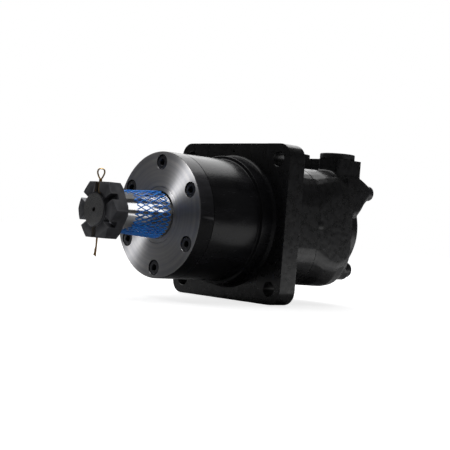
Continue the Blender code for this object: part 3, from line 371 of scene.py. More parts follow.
class Finish:
    """A node material being built. Its sockets are joined by the small functions below."""

    def __init__(self, name, colour, roughness, metallic=0.0):
        self.material = bpy.data.materials.new(name)
        self.material.use_nodes = True
        self.tree = self.material.node_tree
        self.shader = self.tree.nodes["Principled BSDF"]
        self.set("Base Color", (*colour, 1))
        self.set("Roughness", roughness)
        self.set("Metallic", metallic)
        self.place = self.tree.nodes.new("ShaderNodeTexCoord").outputs["Object"]

    def feed(self, target, value):
        """Links an output to an input, or sets the input to a plain value."""
        if isinstance(value, bpy.types.NodeSocket):
            self.tree.links.new(value, target)
        else:
            target.default_value = value

    def set(self, socket, value):
        self.feed(self.shader.inputs[socket], value)

    def node(self, kind, settings=None, **inputs):
        made = self.tree.nodes.new(kind)
        for key, value in (settings or {}).items():
            setattr(made, key, value)
        for key, value in inputs.items():
            self.feed(made.inputs[key], value)
        return made

    def math(self, operation, first, second=0.0):
        made = self.node("ShaderNodeMath", {"operation": operation})
        for target, value in zip(made.inputs, (first, second)):
            self.feed(target, value)
        return made.outputs[0]

    def noise(self, size, detail=3.0, stretch=None):
        """Noise between 0 and 1 with features of about this size, in metres."""
        place = self.place
        if stretch:
            place = self.node("ShaderNodeMapping", Vector=place, Scale=stretch).outputs[0]
        made = self.node("ShaderNodeTexNoise", Vector=place, Scale=1 / size, Detail=detail)
        return made.outputs["Fac"]

    def axis_noise(self, value, size, detail=4.0):
        """Noise that depends on one value only, as turning marks do."""
        settings = {"noise_dimensions": "1D"}
        made = self.node("ShaderNodeTexNoise", settings, W=value, Scale=1 / size, Detail=detail)
        return made.outputs["Fac"]

    def along(self, axis="Y"):
        return self.node("ShaderNodeSeparateXYZ", Vector=self.place).outputs[axis]

    def radius(self):
        """Distance from the motor's axis."""
        parts = self.node("ShaderNodeSeparateXYZ", Vector=self.place)
        squares = [self.math("MULTIPLY", parts.outputs[a], parts.outputs[a]) for a in ("X", "Z")]
        return self.math("SQRT", self.math("ADD", *squares))

    def spread(self, value, low_value, high_value, start=0.35, end=0.65):
        """Maps a value from start..end to low_value..high_value."""
        limits = {"From Min": start, "From Max": end, "To Min": low_value, "To Max": high_value}
        return self.node("ShaderNodeMapRange", Value=value, **limits).outputs["Result"]

    def blend(self, amount, first, second):
        """A colour between two. The numbers are the mix node's colour sockets."""
        made = self.node("ShaderNodeMix", {"data_type": "RGBA"})
        self.feed(made.inputs[0], amount)
        for target, colour in ((6, first), (7, second)):
            self.feed(made.inputs[target], (*colour, 1) if isinstance(colour, tuple) else colour)
        return made.outputs[2]

    def two_tone(self, mask, first, second, share=1.0):
        """Colours the surface by a noise, up to this share of the second tone."""
        self.set("Base Color", self.blend(self.spread(mask, 0, share), first, second))

    def bump(self, height, depth, before=None):
        """Bump of a 0 to 1 height with this depth, in metres."""
        made = self.node("ShaderNodeBump", Height=height, Distance=depth, Strength=1.0)
        if before:
            self.tree.links.new(before, made.inputs["Normal"])
        self.set("Normal", made.outputs[0])
        return made.outputs[0]

    def edge_wear(self):
        """1 on worn outer edges, 0 elsewhere."""
        pointiness = self.node("ShaderNodeNewGeometry").outputs["Pointiness"]
        return self.spread(pointiness, 0.0, 1.0, 0.53, 0.60)

    def brushed(self, amount):
        """Reflections stretched across turning marks that run round the motor's axis."""
        settings = {"direction_type": "RADIAL", "axis": "Y"}
        self.set("Tangent", self.node("ShaderNodeTangent", settings).outputs[0])
        self.set("Anisotropic", amount)
        self.set("Anisotropic Rotation", 0.25)


def scaled(tone, factor):
    return tuple(factor * part for part in tone)


def cover_gunmetal():
    made = Finish("turned_gunmetal", (0.30, 0.30, 0.31), 0.48, 1.0)
    radius = made.radius()
    marks = made.axis_noise(radius, 0.0004)
    wide_marks = made.axis_noise(radius, 0.004)
    stain = made.noise(0.02)
    shade = made.blend(made.spread(wide_marks, 0, 1), (0.27, 0.27, 0.28), (0.34, 0.335, 0.335))
    made.two_tone(stain, shade, (0.25, 0.25, 0.265), 0.5)
    made.set("Roughness", made.spread(marks, 0.46, 0.56))
    made.bump(marks, 0.000008)
    made.brushed(0.9)
    return made.material


def barrel_black():
    made = Finish("barrel_black", (0.012, 0.012, 0.013), 0.2)
    smear = made.noise(0.012, 5, (1, 0.35, 1))
    marks = made.axis_noise(made.along(), 0.0008)
    tone = made.blend(made.spread(smear, 0, 1), (0.010, 0.010, 0.011), (0.017, 0.017, 0.019))
    made.set("Base Color", made.blend(made.edge_wear(), tone, (0.10, 0.10, 0.105)))
    made.set("Roughness", made.spread(smear, 0.20, 0.29))
    made.set("Specular IOR Level", 0.20)
    made.bump(marks, 0.000002, made.bump(made.noise(0.0035), 0.000003))
    return made.material


def cast_paint(name, tone, roughness, grain):
    """Black paint over a casting: orange peel over coarse grain, and a paler edge where it is thin."""
    made = Finish(name, tone, roughness)
    peel = made.noise(0.0016, 4)
    coarse = made.noise(0.006, 5)
    dust = made.noise(0.0009, 2)
    body = made.blend(made.spread(coarse, 0, 0.8), tone, scaled(tone, 1.6))
    body = made.blend(made.spread(dust, 0, 0.4, 0.62, 0.72), body, scaled(tone, 3))
    made.set("Base Color", made.blend(made.edge_wear(), body, scaled(tone, 5)))
    made.set("Roughness", made.spread(coarse, roughness - 0.03, roughness + 0.06))
    made.bump(peel, 0.00002 * grain, made.bump(coarse, 0.00007 * grain))
    return made.material


def dark_steel(name, tone, roughness):
    """Black oxide on steel, thin on the edges."""
    made = Finish(name, tone, roughness, 0.75)
    cloud = made.noise(0.005, 5)
    scratch = made.noise(0.0006, 2, (1, 0.15, 1))
    shade = made.blend(made.spread(cloud, 0, 1), tone, scaled(tone, 1.5))
    made.set("Base Color", made.blend(made.edge_wear(), shade, (0.24, 0.24, 0.25)))
    made.set("Roughness", made.spread(cloud, roughness - 0.05, roughness + 0.10))
    made.bump(scratch, 0.000015)
    return made.material


def ground_steel():
    made = Finish("ground_steel", (0.62, 0.62, 0.63), 0.12, 1.0)
    marks = made.axis_noise(made.along(), 0.00035)
    stain = made.noise(0.008, 4)
    made.two_tone(stain, (0.66, 0.655, 0.65), (0.55, 0.555, 0.57))
    made.set("Roughness", made.spread(marks, 0.09, 0.17))
    made.bump(marks, 0.000003)
    made.brushed(0.45)
    return made.material


def bright_steel(name, tone, roughness):
    """Ground or superfinished steel for the inner parts."""
    made = Finish(name, tone, roughness, 1.0)
    marks = made.noise(0.0008, 3, (1, 0.2, 1))
    cloud = made.noise(0.01)
    made.two_tone(cloud, tone, scaled(tone, 0.8))
    made.set("Roughness", made.spread(marks, roughness - 0.04, roughness + 0.08))
    made.bump(marks, 0.000006)
    return made.material


def yellow_zinc():
    made = Finish("yellow_zinc", (0.50, 0.36, 0.13), 0.3, 1.0)
    cloud = made.noise(0.0035, 4)
    tint = made.noise(0.006, 2)
    shade = made.blend(made.spread(cloud, 0, 1), (0.52, 0.38, 0.13), (0.36, 0.27, 0.12))
    made.two_tone(tint, shade, (0.55, 0.28, 0.20), 0.45)
    made.set("Roughness", made.spread(cloud, 0.25, 0.42))
    made.bump(made.noise(0.0005), 0.00002)
    return made.material


def net_blue():
    made = Finish("net_blue", (0.015, 0.18, 0.65), 0.32)
    streak = made.noise(0.003, 3, (1, 0.3, 1))
    made.two_tone(streak, (0.012, 0.17, 0.62), (0.025, 0.26, 0.80))
    made.set("Roughness", made.spread(streak, 0.26, 0.42))
    made.set("Subsurface Weight", 0.15)
    made.set("Subsurface Radius", (0.0002, 0.0006, 0.0012))
    made.bump(made.noise(0.0008), 0.00003)
    return made.material


def moulded(name, tone, roughness, grain):
    """Rubber or plastic with a fine moulded skin."""
    made = Finish(name, tone, roughness)
    skin_noise = made.noise(0.0007, 3)
    cloud = made.noise(0.009, 3)
    made.two_tone(cloud, tone, scaled(tone, 1.4))
    made.set("Roughness", made.spread(cloud, roughness - 0.05, roughness + 0.08))
    made.bump(skin_noise, grain)
    return made.material


FINISHES = {
    "cover_gunmetal": cover_gunmetal(),
    "barrel_black": barrel_black(),
    "cast_black": cast_paint("cast_black", (0.0060, 0.0060, 0.0066), 0.28, 1.0),
    "rear_black": cast_paint("rear_black", (0.009, 0.009, 0.010), 0.34, 0.35),
    "oxide_steel": dark_steel("oxide_steel", (0.050, 0.051, 0.056), 0.42),
    "ground_steel": ground_steel(),
    "hardened_steel": bright_steel("hardened_steel", (0.46, 0.46, 0.48), 0.28),
    "bearing_steel": bright_steel("bearing_steel", (0.60, 0.60, 0.62), 0.14),
    "yellow_zinc": yellow_zinc(),
    "seal_rubber": moulded("seal_rubber", (0.014, 0.014, 0.015), 0.6, 0.00003),
    "seal_polymer": moulded("seal_polymer", (0.55, 0.50, 0.40), 0.5, 0.00002),
    "net_blue": net_blue(),
    "plug_black": moulded("plug_black", (0.016, 0.016, 0.017), 0.42, 0.00003),
}


def place(piece, body, slot, *nodes):
    """Gives a piece its finish, its body and the CAD nodes that it stands for."""
    piece.data.materials.clear()
    piece.data.materials.append(FINISHES[slot])
    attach(piece, body)
    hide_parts(*nodes)
    return piece


def second_finish(piece, slot, wanted):
    """Gives the faces for which wanted(radius, y, face) holds a second finish."""
    piece.data.materials.append(FINISHES[slot])
    for face in piece.data.polygons:
        if wanted(math.hypot(face.center.x, face.center.z), face.center.y, face):
            face.material_index = 1
    return piece


# Output shaft and what it carries


def taper_r(y):
    return TAPER_LARGE_R - (TAPER_START_Y - y) * TAPER_SLOPE


def thread(radius, y, angle):
    """Cuts a 60 degree thread into the rows between the shaft's end and the taper."""
    if radius < THREAD_R - 1e-6 or y > TAPER_END_Y - 0.0004:
        return radius
    turn = (y / THREAD_PITCH - angle / FULL_TURN) % 1
    fade = min(1, (TAPER_END_Y - y) / THREAD_PITCH)
    flank = max(0, min(1, (abs(2 * turn - 1) - 0.1) / 0.8))
    return radius - THREAD_DEPTH * flank * fade


def output_shaft():
    """Thread, taper, collar and journal, with keyway, pin hole, centre drill and splined socket."""
    chamfer = 0.0006
    profile = [(0, SHAFT_END_Y), (THREAD_R - chamfer, SHAFT_END_Y), (THREAD_R, SHAFT_END_Y + chamfer)]
    first, last = SHAFT_END_Y + chamfer, TAPER_END_Y - 0.0003
    rows = round((last - first) / THREAD_PITCH * 8)  # eight rows of vertices to a turn
    profile += [(THREAD_R, first + (last - first) * row / rows) for row in range(1, rows + 1)]
    journal_r = COLLAR_R - 0.004
    collar_front, collar_rear = -0.0775, -0.073
    body = [
        (THREAD_R, last),
        (taper_r(TAPER_END_Y), TAPER_END_Y - 0.0001, 0.0006),
        (TAPER_LARGE_R, TAPER_START_Y, 0.002),
        (TAPER_LARGE_R, collar_front, 0.0012),
        (COLLAR_R, collar_front),
        (COLLAR_R, collar_rear),
        (journal_r, collar_rear, 0.001),
        (journal_r, SHAFT_REAR_Y, 0.0012),
        (0, SHAFT_REAR_Y),
    ]
    profile += eased(body, 0.0004)[1:]
    made = turned("shaft", profile, 120, bend=thread)
    depth, drill_r, mouth = 0.008, 0.0019, 0.0005
    drill = rod(drill_r, SHAFT_END_Y, SHAFT_END_Y + depth, 32, flare=mouth)
    key_low, key_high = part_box("shaft_key")
    outside = -0.030
    keyway = block(
        (outside, key_high.x + PLAY),
        (key_low.y - PLAY, key_high.y + PLAY),
        (key_low.z - PLAY, key_high.z + PLAY),
    )
    pin_hole = upright(rod(PIN_HOLE_R, -0.02, 0.02, 24), 0, PIN_Y)
    cut(made, drill, link_socket(), keyway, pin_hole)
    place(crisp(made), "shaft", "ground_steel", "output_shaft")

    # Painted shade: the threaded and drilled faces take dark oxide steel. This stands in for the
    # shadow on the thread beside the nut and for the dark inside the centre drill.
    def painted_shade(radius, y, face):
        threaded = radius > THREAD_R - 2 * THREAD_DEPTH and y < TAPER_END_Y
        drilled = radius < drill_r + 2 * mouth and y < SHAFT_END_Y + depth
        return (threaded or drilled) and abs(face.normal.y) < 0.95

    return second_finish(made, "oxide_steel", painted_shade)


def link_socket():
    """The splined hole in the shaft's rear end."""
    teeth, root, tip = 8, 0.01485, 0.01705
    floor_y = -0.020
    half_tooth = FULL_TURN / teeth / 4
    corners = ((root, -1.13), (tip, -0.86), (tip, 0.86), (root, 1.13))  # in half teeth
    outline = []
    for tooth in range(teeth):
        at = FULL_TURN * tooth / teeth
        outline += [(radius, at + offset * half_tooth) for radius, offset in corners]
    sections = [[at_angle(r, a, y) for r, a in outline] for y in (floor_y, SHAFT_REAR_Y + BEYOND)]
    return loft("socket", sections)


def castle_nut():
    """A castle nut with a round washer face behind its hexagon."""
    corner_r = NUT_FLATS / 2 / math.cos(math.pi / 6)
    made = loft("nut", [hexagon(corner_r, y, 0.5) for y in (NUT_FRONT_Y, NUT_REAR_Y)])
    drop, rear_drop = 0.0028, 0.0024  # of the chamfers on its corners
    beyond_r = corner_r + 0.001
    washer_r, washer_y = 0.0235, NUT_REAR_Y - 0.0018
    recess_y = TAPER_END_Y - 0.0006
    envelope = turned(
        "envelope",
        [
            (0, NUT_FRONT_Y),
            (NUT_FLATS / 2 - 0.0006, NUT_FRONT_Y),
            (beyond_r, NUT_FRONT_Y + drop),
            (beyond_r, washer_y - rear_drop),
            (corner_r - rear_drop, washer_y),
            (washer_r, washer_y),
            (washer_r, NUT_REAR_Y),
            (0, NUT_REAR_Y),
        ],
        128,
    )
    boolean(made, [envelope], "INTERSECT")
    bore_r, recess_r = THREAD_R + PLAY, TAPER_LARGE_R - 0.0029
    cut(made, rod(bore_r, NUT_FRONT_Y, NUT_REAR_Y + BEYOND, 96, flare=0.0009))
    cut(made, rod(recess_r, recess_y, NUT_REAR_Y + BEYOND, 96))

    half, floor_r, reach = 0.0031, 0.0012, 0.04
    floor_y = NUT_FRONT_Y + 0.0082
    outline = [(-half, NUT_FRONT_Y - BEYOND), (-half, floor_y - floor_r)]
    for step in range(1, 5):
        angle = QUARTER * step / 4
        x = -half + floor_r * (1 - math.cos(angle))
        outline.append((x, floor_y - floor_r * (1 - math.sin(angle))))
    outline += [(-x, y) for x, y in reversed(outline)]
    sections = [[Vector((x, y, z)) for x, y in outline] for z in (-reach, reach)]
    cut(made, *[spun(loft("slot", sections), FULL_TURN * i / 6) for i in range(3)])
    return place(crisp(made, 0.00022, 2), "shaft", "oxide_steel", "castle_nut")


def sweep(name, path, section):
    """A closed body along a path of points, all in a plane whose normal is Y."""
    shape = bmesh.new()
    loops = []
    for i, here in enumerate(path):
        along = (path[min(i + 1, len(path) - 1)] - path[max(i - 1, 0)]).normalized()
        side = along.cross(Vector((0, 1, 0))).normalized()
        loops.append([shape.verts.new(here + side * u + Vector((0, v, 0))) for u, v in section])
    skin(shape, loops)
    return finish_mesh(name, shape, 50)


def cotter_pin():
    """A split pin: flattened wire doubled back on itself, with a pear-shaped eye on top."""
    low_corner, high_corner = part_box("cotter_pin")
    wire, apart = 0.0011, 0.00010  # half the wire's width, and half the gap between the legs
    eye_half, eye_length = 0.0033, 0.0105
    closing = 0.55  # share of the eye's length after which it closes
    neck_z = high_corner.z - wire * 0.5 - eye_length
    drift, leg_steps, eye_steps = 0.0005, 26, 16

    def centre(x, z):
        """A point of the wire's centre line, moved off the pin's axis on the side where it lies."""
        point = Vector((x, 0, z))
        aside = math.copysign(wire * 0.6, point.x) if abs(point.x) > apart / 2 else 0
        return point + Vector((aside, 0, 0))

    path = []
    for leg, tail_z in ((-1, low_corner.z + 0.0014), (1, low_corner.z + 0.0002)):
        points = []
        for i in range(leg_steps + 1):
            share = i / leg_steps
            x = leg * apart + drift * math.sin(3.1 * share) * (1 - share)
            points.append(centre(x, tail_z + (neck_z - tail_z) * share))
        for i in range(1, eye_steps + 1):
            share = i / eye_steps
            late = QUARTER * (share - closing) / (1 - closing)
            swell = math.sin(math.pi * share / 2) ** 0.8 * eye_half * math.cos(max(0, late))
            rise = share if late < 0 else closing + (1 - closing) * math.sin(late)
            points.append(centre(leg * (apart + swell), neck_z + (eye_length - wire) * rise))
        path += points if leg < 0 else list(reversed(points))[1:]
    angles = [FULL_TURN * i / 12 for i in range(12)]
    made = sweep("split_pin", path, [(wire * 0.62 * math.cos(a), wire * math.sin(a)) for a in angles])
    turn = Matrix.Translation((0, PIN_Y, 0)) @ Matrix.Rotation(math.radians(30), 4, "Z")
    made.data.transform(turn)
    return place(crisp(made, sharp=50), "shaft", "yellow_zinc", "cotter_pin")


def net_radius(y, angle):
    """Distance from the axis of a net strand's centre: close on the taper, and over the key."""
    offset, slack = 0.0009, 0.0012
    radius = taper_r(y) + offset
    top = -low("shaft_key").x + offset
    side = high("shaft_key").z + offset + slack
    corner = math.hypot(top, side)
    tangent = math.atan2(side, top) + math.acos(radius / corner)
    from_key = abs((angle - 1.5 * math.pi + math.pi) % FULL_TURN - math.pi)
    if from_key >= tangent:
        return radius
    return min(radius / math.cos(tangent - from_key), top / math.cos(from_key))


def net_edge_y(angle):
    """The cut front edge of the net: drawn back where the net faces +X, long above and below."""
    long_y, short_y = NET_FRONT_Y + 0.0010, NET_FRONT_Y + 0.0115
    rise_start, rise_span, fall_end, fall_span = (math.radians(a) for a in (16, 22, 163, 36))
    angle %= FULL_TURN
    rise = min(1, max(0, (angle - rise_start) / rise_span))
    fall = min(1, max(0, (fall_end - angle) / fall_span))
    share = min(rise, fall)
    share = share * share * (3 - 2 * share)
    wave_size, waves = 0.0006, 11
    return long_y + (short_y - long_y + wave_size * math.sin(waves * angle)) * share


def shaft_net():
    """A sleeve of extruded net: two sets of strands that cross, bonded where they meet."""
    count = 30
    mesh_length = 0.0115  # of one diamond, along the shaft
    wire = 0.00050
    step = 0.00125  # between the points of a strand, along the shaft
    gathered = 0.30  # how much closer the strands lie underneath
    uneven = 0.10  # sideways wander of a strand
    rear_y = NET_REAR_Y - 0.0006
    strands = []
    for way in (-1, 1):
        for strand in range(count):
            start = FULL_TURN * strand / count
            points = []
            y = rear_y
            while True:
                travelled = (rear_y - y) / mesh_length
                wander = uneven * math.sin(FULL_TURN * travelled) * FULL_TURN / count
                angle = start + way * (FULL_TURN / count * travelled + wander * 0.5)
                angle += gathered * math.sin(angle)
                if y < net_edge_y(angle):
                    break
                points.append(at_angle(net_radius(y, angle % FULL_TURN), angle, y))
                y -= step
            if len(points) > 2:
                strands.append(points)
    curve = bpy.data.curves.new("net", "CURVE")
    curve.dimensions = "3D"
    curve.bevel_depth = wire
    curve.bevel_resolution = 1
    curve.use_fill_caps = True
    for points in strands:
        spline = curve.splines.new("POLY")
        spline.points.add(len(points) - 1)
        for target, point in zip(spline.points, points):
            target.co = (*point, 1)
    made = link("net_sleeve", curve)
    graph = bpy.context.evaluated_depsgraph_get()
    mesh = bpy.data.meshes.new_from_object(made.evaluated_get(graph), depsgraph=graph)
    bpy.data.objects.remove(made)
    mesh.shade_smooth()
    return place(link("net_sleeve", mesh), "shaft", "net_blue", "shaft_net_sleeve")


# Front cover


def socket_screw(name, node, head_length, shank_r, socket_r, twist, slot):
    """A socket-head screw in the place of a CAD one, its head towards the shaft or the rear."""
    low_corner, high_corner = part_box(node)
    centre = (low_corner + high_corner) / 2
    head_r = (high_corner.z - low_corner.z) / 2
    forward = abs(low_corner.y) > abs(high_corner.y)
    top, tip = (low_corner.y, high_corner.y) if forward else (high_corner.y, low_corner.y)
    way = math.copysign(1, tip - top)
    profile = [
        (0, top),
        (head_r, top, head_r * 0.10),
        (head_r, top + way * head_length, 0.0003),
        (shank_r, top + way * head_length, 0.0003),
        (shank_r, tip, 0.0008),
        (0, tip),
    ]
    made = turned(name, eased(profile, 0.0003), 48)
    outside, mouth_y, depth = top - way * 0.001, top + way * 0.0005, head_length * 0.6
    socket = rod(socket_r, outside, top + way * depth, 6)
    cone = [(0, outside), (socket_r + 0.001, outside), (socket_r * 0.86, mouth_y), (0, mouth_y)]
    cut(made, spun(socket, twist), turned("mouth", cone, 32))
    made.data.transform(Matrix.Translation((centre.x, 0, centre.z)))
    place(crisp(made), "housing", slot, node)


def front_cover():
    """The turned cover: its face, spigot and O-ring groove, and inside it the room for the
    shaft's collar and the seats of the two seals."""
    wiper_r, wiper_y = 0.028, -0.0912
    bore_r, seal_r, seal_y = 0.0234, 0.032, -0.0878
    room_r, room_y = 0.037, -0.0790
    spigot_r = BEARING_BORE_R - PLAY
    groove_r, groove_front, groove_rear = 0.0425, -0.0774, -0.0752
    rear = HOUSING_FRONT_Y - PLAY
    profile = [
        (wiper_r, COVER_FRONT_Y + 0.004),
        (wiper_r, COVER_FRONT_Y, 0.0005),
        (BARREL_R, COVER_FRONT_Y, 0.0007),
        (BARREL_R, rear, 0.0004),
        (spigot_r, rear),
        (spigot_r, groove_front),
        (groove_r, groove_front),
        (groove_r, groove_rear),
        (spigot_r, groove_rear),
        (spigot_r, COVER_REAR_Y, 0.0006),
        (room_r, COVER_REAR_Y),
        (room_r, room_y),
        (seal_r, room_y),
        (seal_r, seal_y),
        (bore_r, seal_y),
        (bore_r, wiper_y),
        (wiper_r, wiper_y),
        (wiper_r, COVER_FRONT_Y + 0.004),
    ]
    made = turned("cover", eased(profile, 0.0002)[:-1], 192)
    pocket_r, seat = 0.0075, COVER_FRONT_Y + 0.0093
    screws = ring_places(COVER_SCREW_RING_R, 6)
    pockets = [rod(pocket_r, COVER_FRONT_Y, seat, 48, x, z, flare=0.00025) for x, z in screws]
    holes = [rod(SCREW_HOLE_R, COVER_FRONT_Y, rear + BEYOND, 32, x, z) for x, z in screws]
    cut(made, join("pockets", pockets), join("holes", holes))
    place(crisp(made), "housing", "cover_gunmetal", "front_cover")

    def black(radius, y, face):
        offsets = [math.hypot(face.center.x - x, face.center.z - z) for x, z in screws]
        # Painted shade: the faces inside the screw pockets take black paint so that the pockets read
        # dark. The outer rim takes the barrel's own black finish.
        painted_pocket_shade = y > COVER_FRONT_Y + 0.00005 and min(offsets) < pocket_r + 0.0005
        return painted_pocket_shade or radius > BARREL_R - 0.0004

    return second_finish(made, "barrel_black", black)


def dust_seal():
    """The wiper round the shaft: a case with a thin lip."""
    low_corner, high_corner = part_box("dust_seal")
    outer, lip_y, rear = high_corner.x, low_corner.y, high_corner.y
    inner, case_y = TAPER_LARGE_R + PLAY, COVER_FRONT_Y + PLAY
    case_r = inner + 0.0010
    profile = [
        (inner, lip_y + 0.0004),
        (inner + 0.0005, lip_y, 0.0002),
        (inner + 0.0009, lip_y + 0.0008, 0.0002),
        (case_r, case_y, 0.0002),
        (outer, case_y, 0.0003),
        (outer, rear, 0.0003),
        (inner + 0.0018, rear, 0.0003),
        (inner, lip_y + 0.0004),
    ]
    made = turned("wiper", eased(profile, 0.0002)[:-1], 128)
    place(crisp(made), "housing", "seal_rubber", "dust_seal")
    return second_finish(made, "cover_gunmetal", lambda radius, y, face: radius > case_r)


# Bearing housing


def bearing_housing():
    """Flange and neck as one casting, its mounting face and its rear face machined, and the
    turned barrel in front."""
    edge, grain = 0.0012, 0.00016
    rims = (  # y, inset
        (-0.002, 0),
        (FLANGE_THICK - edge, 0),
        (FLANGE_THICK - edge * 0.3, edge * 0.3),
        (FLANGE_THICK, edge),
    )
    flange = []
    for y, inset in rims:
        half = FLANGE_HALF - grain - inset
        flange.append(rounded_box(half, half, FLANGE_CORNER_R - inset, y))
    neck = [rounded_box(BARREL_R, BARREL_R, NECK_CORNER_R, y) for y in (0.01, HOUSING_REAR_Y + 0.002)]
    casting = cast("housing", [loft("flange", flange), loft("neck", neck)], 0.0013, 4, grain)
    everything = (-FLANGE_HALF - BEYOND, FLANGE_HALF + BEYOND)
    cut(
        casting,
        block(everything, (-0.01, 0), everything),
        block(everything, (HOUSING_REAR_Y, HOUSING_REAR_Y + 0.01), everything),
    )
    foot = PILOT_FOOT_R - PILOT_R
    profile = [
        (0, HOUSING_FRONT_Y),
        (BARREL_R, HOUSING_FRONT_Y, 0.0005),
        (BARREL_R, -PILOT_LENGTH - 0.0006, 0.0012),
        (PILOT_R, -PILOT_LENGTH, 0.0006),
        (PILOT_R, 0, foot),
        (PILOT_FOOT_R + foot, 0.0002),
        (PILOT_FOOT_R + foot, 0.002),
        (0, 0.002),
    ]
    barrel = turned("barrel", eased(profile, 0.0004, 5), 192)
    boolean(casting, [barrel], "UNION")
    front_cup, rear_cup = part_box("front_bearing_cup"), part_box("rear_bearing_cup")
    cartridge_r, cartridge_y = CARTRIDGE_R + 0.0005, low("wear_plate").y - PLAY
    bore = turned(
        "bore",
        [
            (0, HOUSING_FRONT_Y - BEYOND),
            (BEARING_BORE_R, HOUSING_FRONT_Y - BEYOND),
            (BEARING_BORE_R, front_cup[1].y + PLAY),
            (BEARING_SHOULDER_R, front_cup[1].y + PLAY),
            (BEARING_SHOULDER_R, rear_cup[0].y - PLAY),
            (BEARING_BORE_R, rear_cup[0].y - PLAY),
            (BEARING_BORE_R, cartridge_y),
            (cartridge_r, cartridge_y),
            (cartridge_r, HOUSING_REAR_Y + BEYOND),
            (0, HOUSING_REAR_Y + BEYOND),
        ],
        96,
    )
    holes = []
    for x, z in corner_places(FLANGE_HOLE_OFFSET):
        holes.append(rod(FLANGE_HOLE_R, 0, FLANGE_THICK + BEYOND, 48, x, z, flare=0.0004))
    for x, z in corner_places(TIE_OFFSET):
        holes.append(rod(TIE_HOLE_R, 0.006, HOUSING_REAR_Y + BEYOND, 24, x, z))
    for x, z in ring_places(COVER_SCREW_RING_R, 6):
        holes.append(rod(SCREW_HOLE_R, HOUSING_FRONT_Y - BEYOND, -0.060, 24, x, z))
    dimple = rod(0.0014, -0.001, 0.0009, 16, 0, FLANGE_HALF - 0.0085)
    cut(casting, bore, join("holes", [*holes, dimple]))
    place(crisp(casting), "housing", "cast_black", "bearing_housing")
    second_finish(casting, "barrel_black", lambda radius, y, face: y < 0)


# Valve housing


def valve_sections():
    """The cast body: soft corners at the joint, squarer over the middle, closing in behind."""
    stations = (  # y, inset, corner radius
        (VALVE_FRONT_Y - 0.003, 0, 0.040),
        (VALVE_FRONT_Y + 0.003, 0, 0.039),
        (0.0860, 0, 0.031),
        (0.1040, 0, 0.026),
        (0.1180, 0.0008, 0.030),
        (0.1270, 0.0030, 0.034),
        (0.1325, 0.0070, 0.036),
        (0.1355, 0.0120, 0.036),
    )
    sections = []
    for y, inset, corner in stations:
        sections.append(rounded_box(VALVE_HALF - inset, VALVE_HALF - inset, corner, y))
    return sections


def port_block():
    """The block under both ports, its front set back between them."""
    half_x, front, rear, corner = 0.053, 0.1045, VALVE_REAR_Y, 0.0045
    tops = (0.030, PORT_TOP_Z + BEYOND)
    sections = [rounded_box(half_x, (rear - front) / 2, corner, -z, steps=4) for z in tops]
    made = upright(loft("port_block", sections), 0, (front + rear) / 2, flip=True)
    web = 0.0245
    return cut(made, block((-web, web), (front - 0.01, front + corner), (0.02, 0.09)))


def upper_boss(side):
    """A flared boss that carries the head of a long tie bolt."""
    seat_y = high("tie_bolt_1").y - TIE_HEAD - PLAY
    sections = (  # y, half width, low z, high z, corner radius
        (0.118, 0.0150, 0.008, 0.0600, 0.010),
        (0.140, 0.0135, 0.012, 0.0600, 0.010),
        (0.1475, 0.0126, 0.0185, 0.0587, 0.0105),
        (0.1540, 0.0112, 0.0262, 0.0566, 0.0105),
        (seat_y + 0.002, 0.0097, 0.0335, 0.0525, 0.0095),
    )
    outlines = []
    for y, half_x, bottom, top, corner in sections:
        x, z = side * (TIE_OFFSET - 0.0005), (top + bottom) / 2
        outlines.append(rounded_box(half_x, (top - bottom) / 2, corner, y, x, z, steps=4))
    return loft("upper_boss", outlines), seat_y


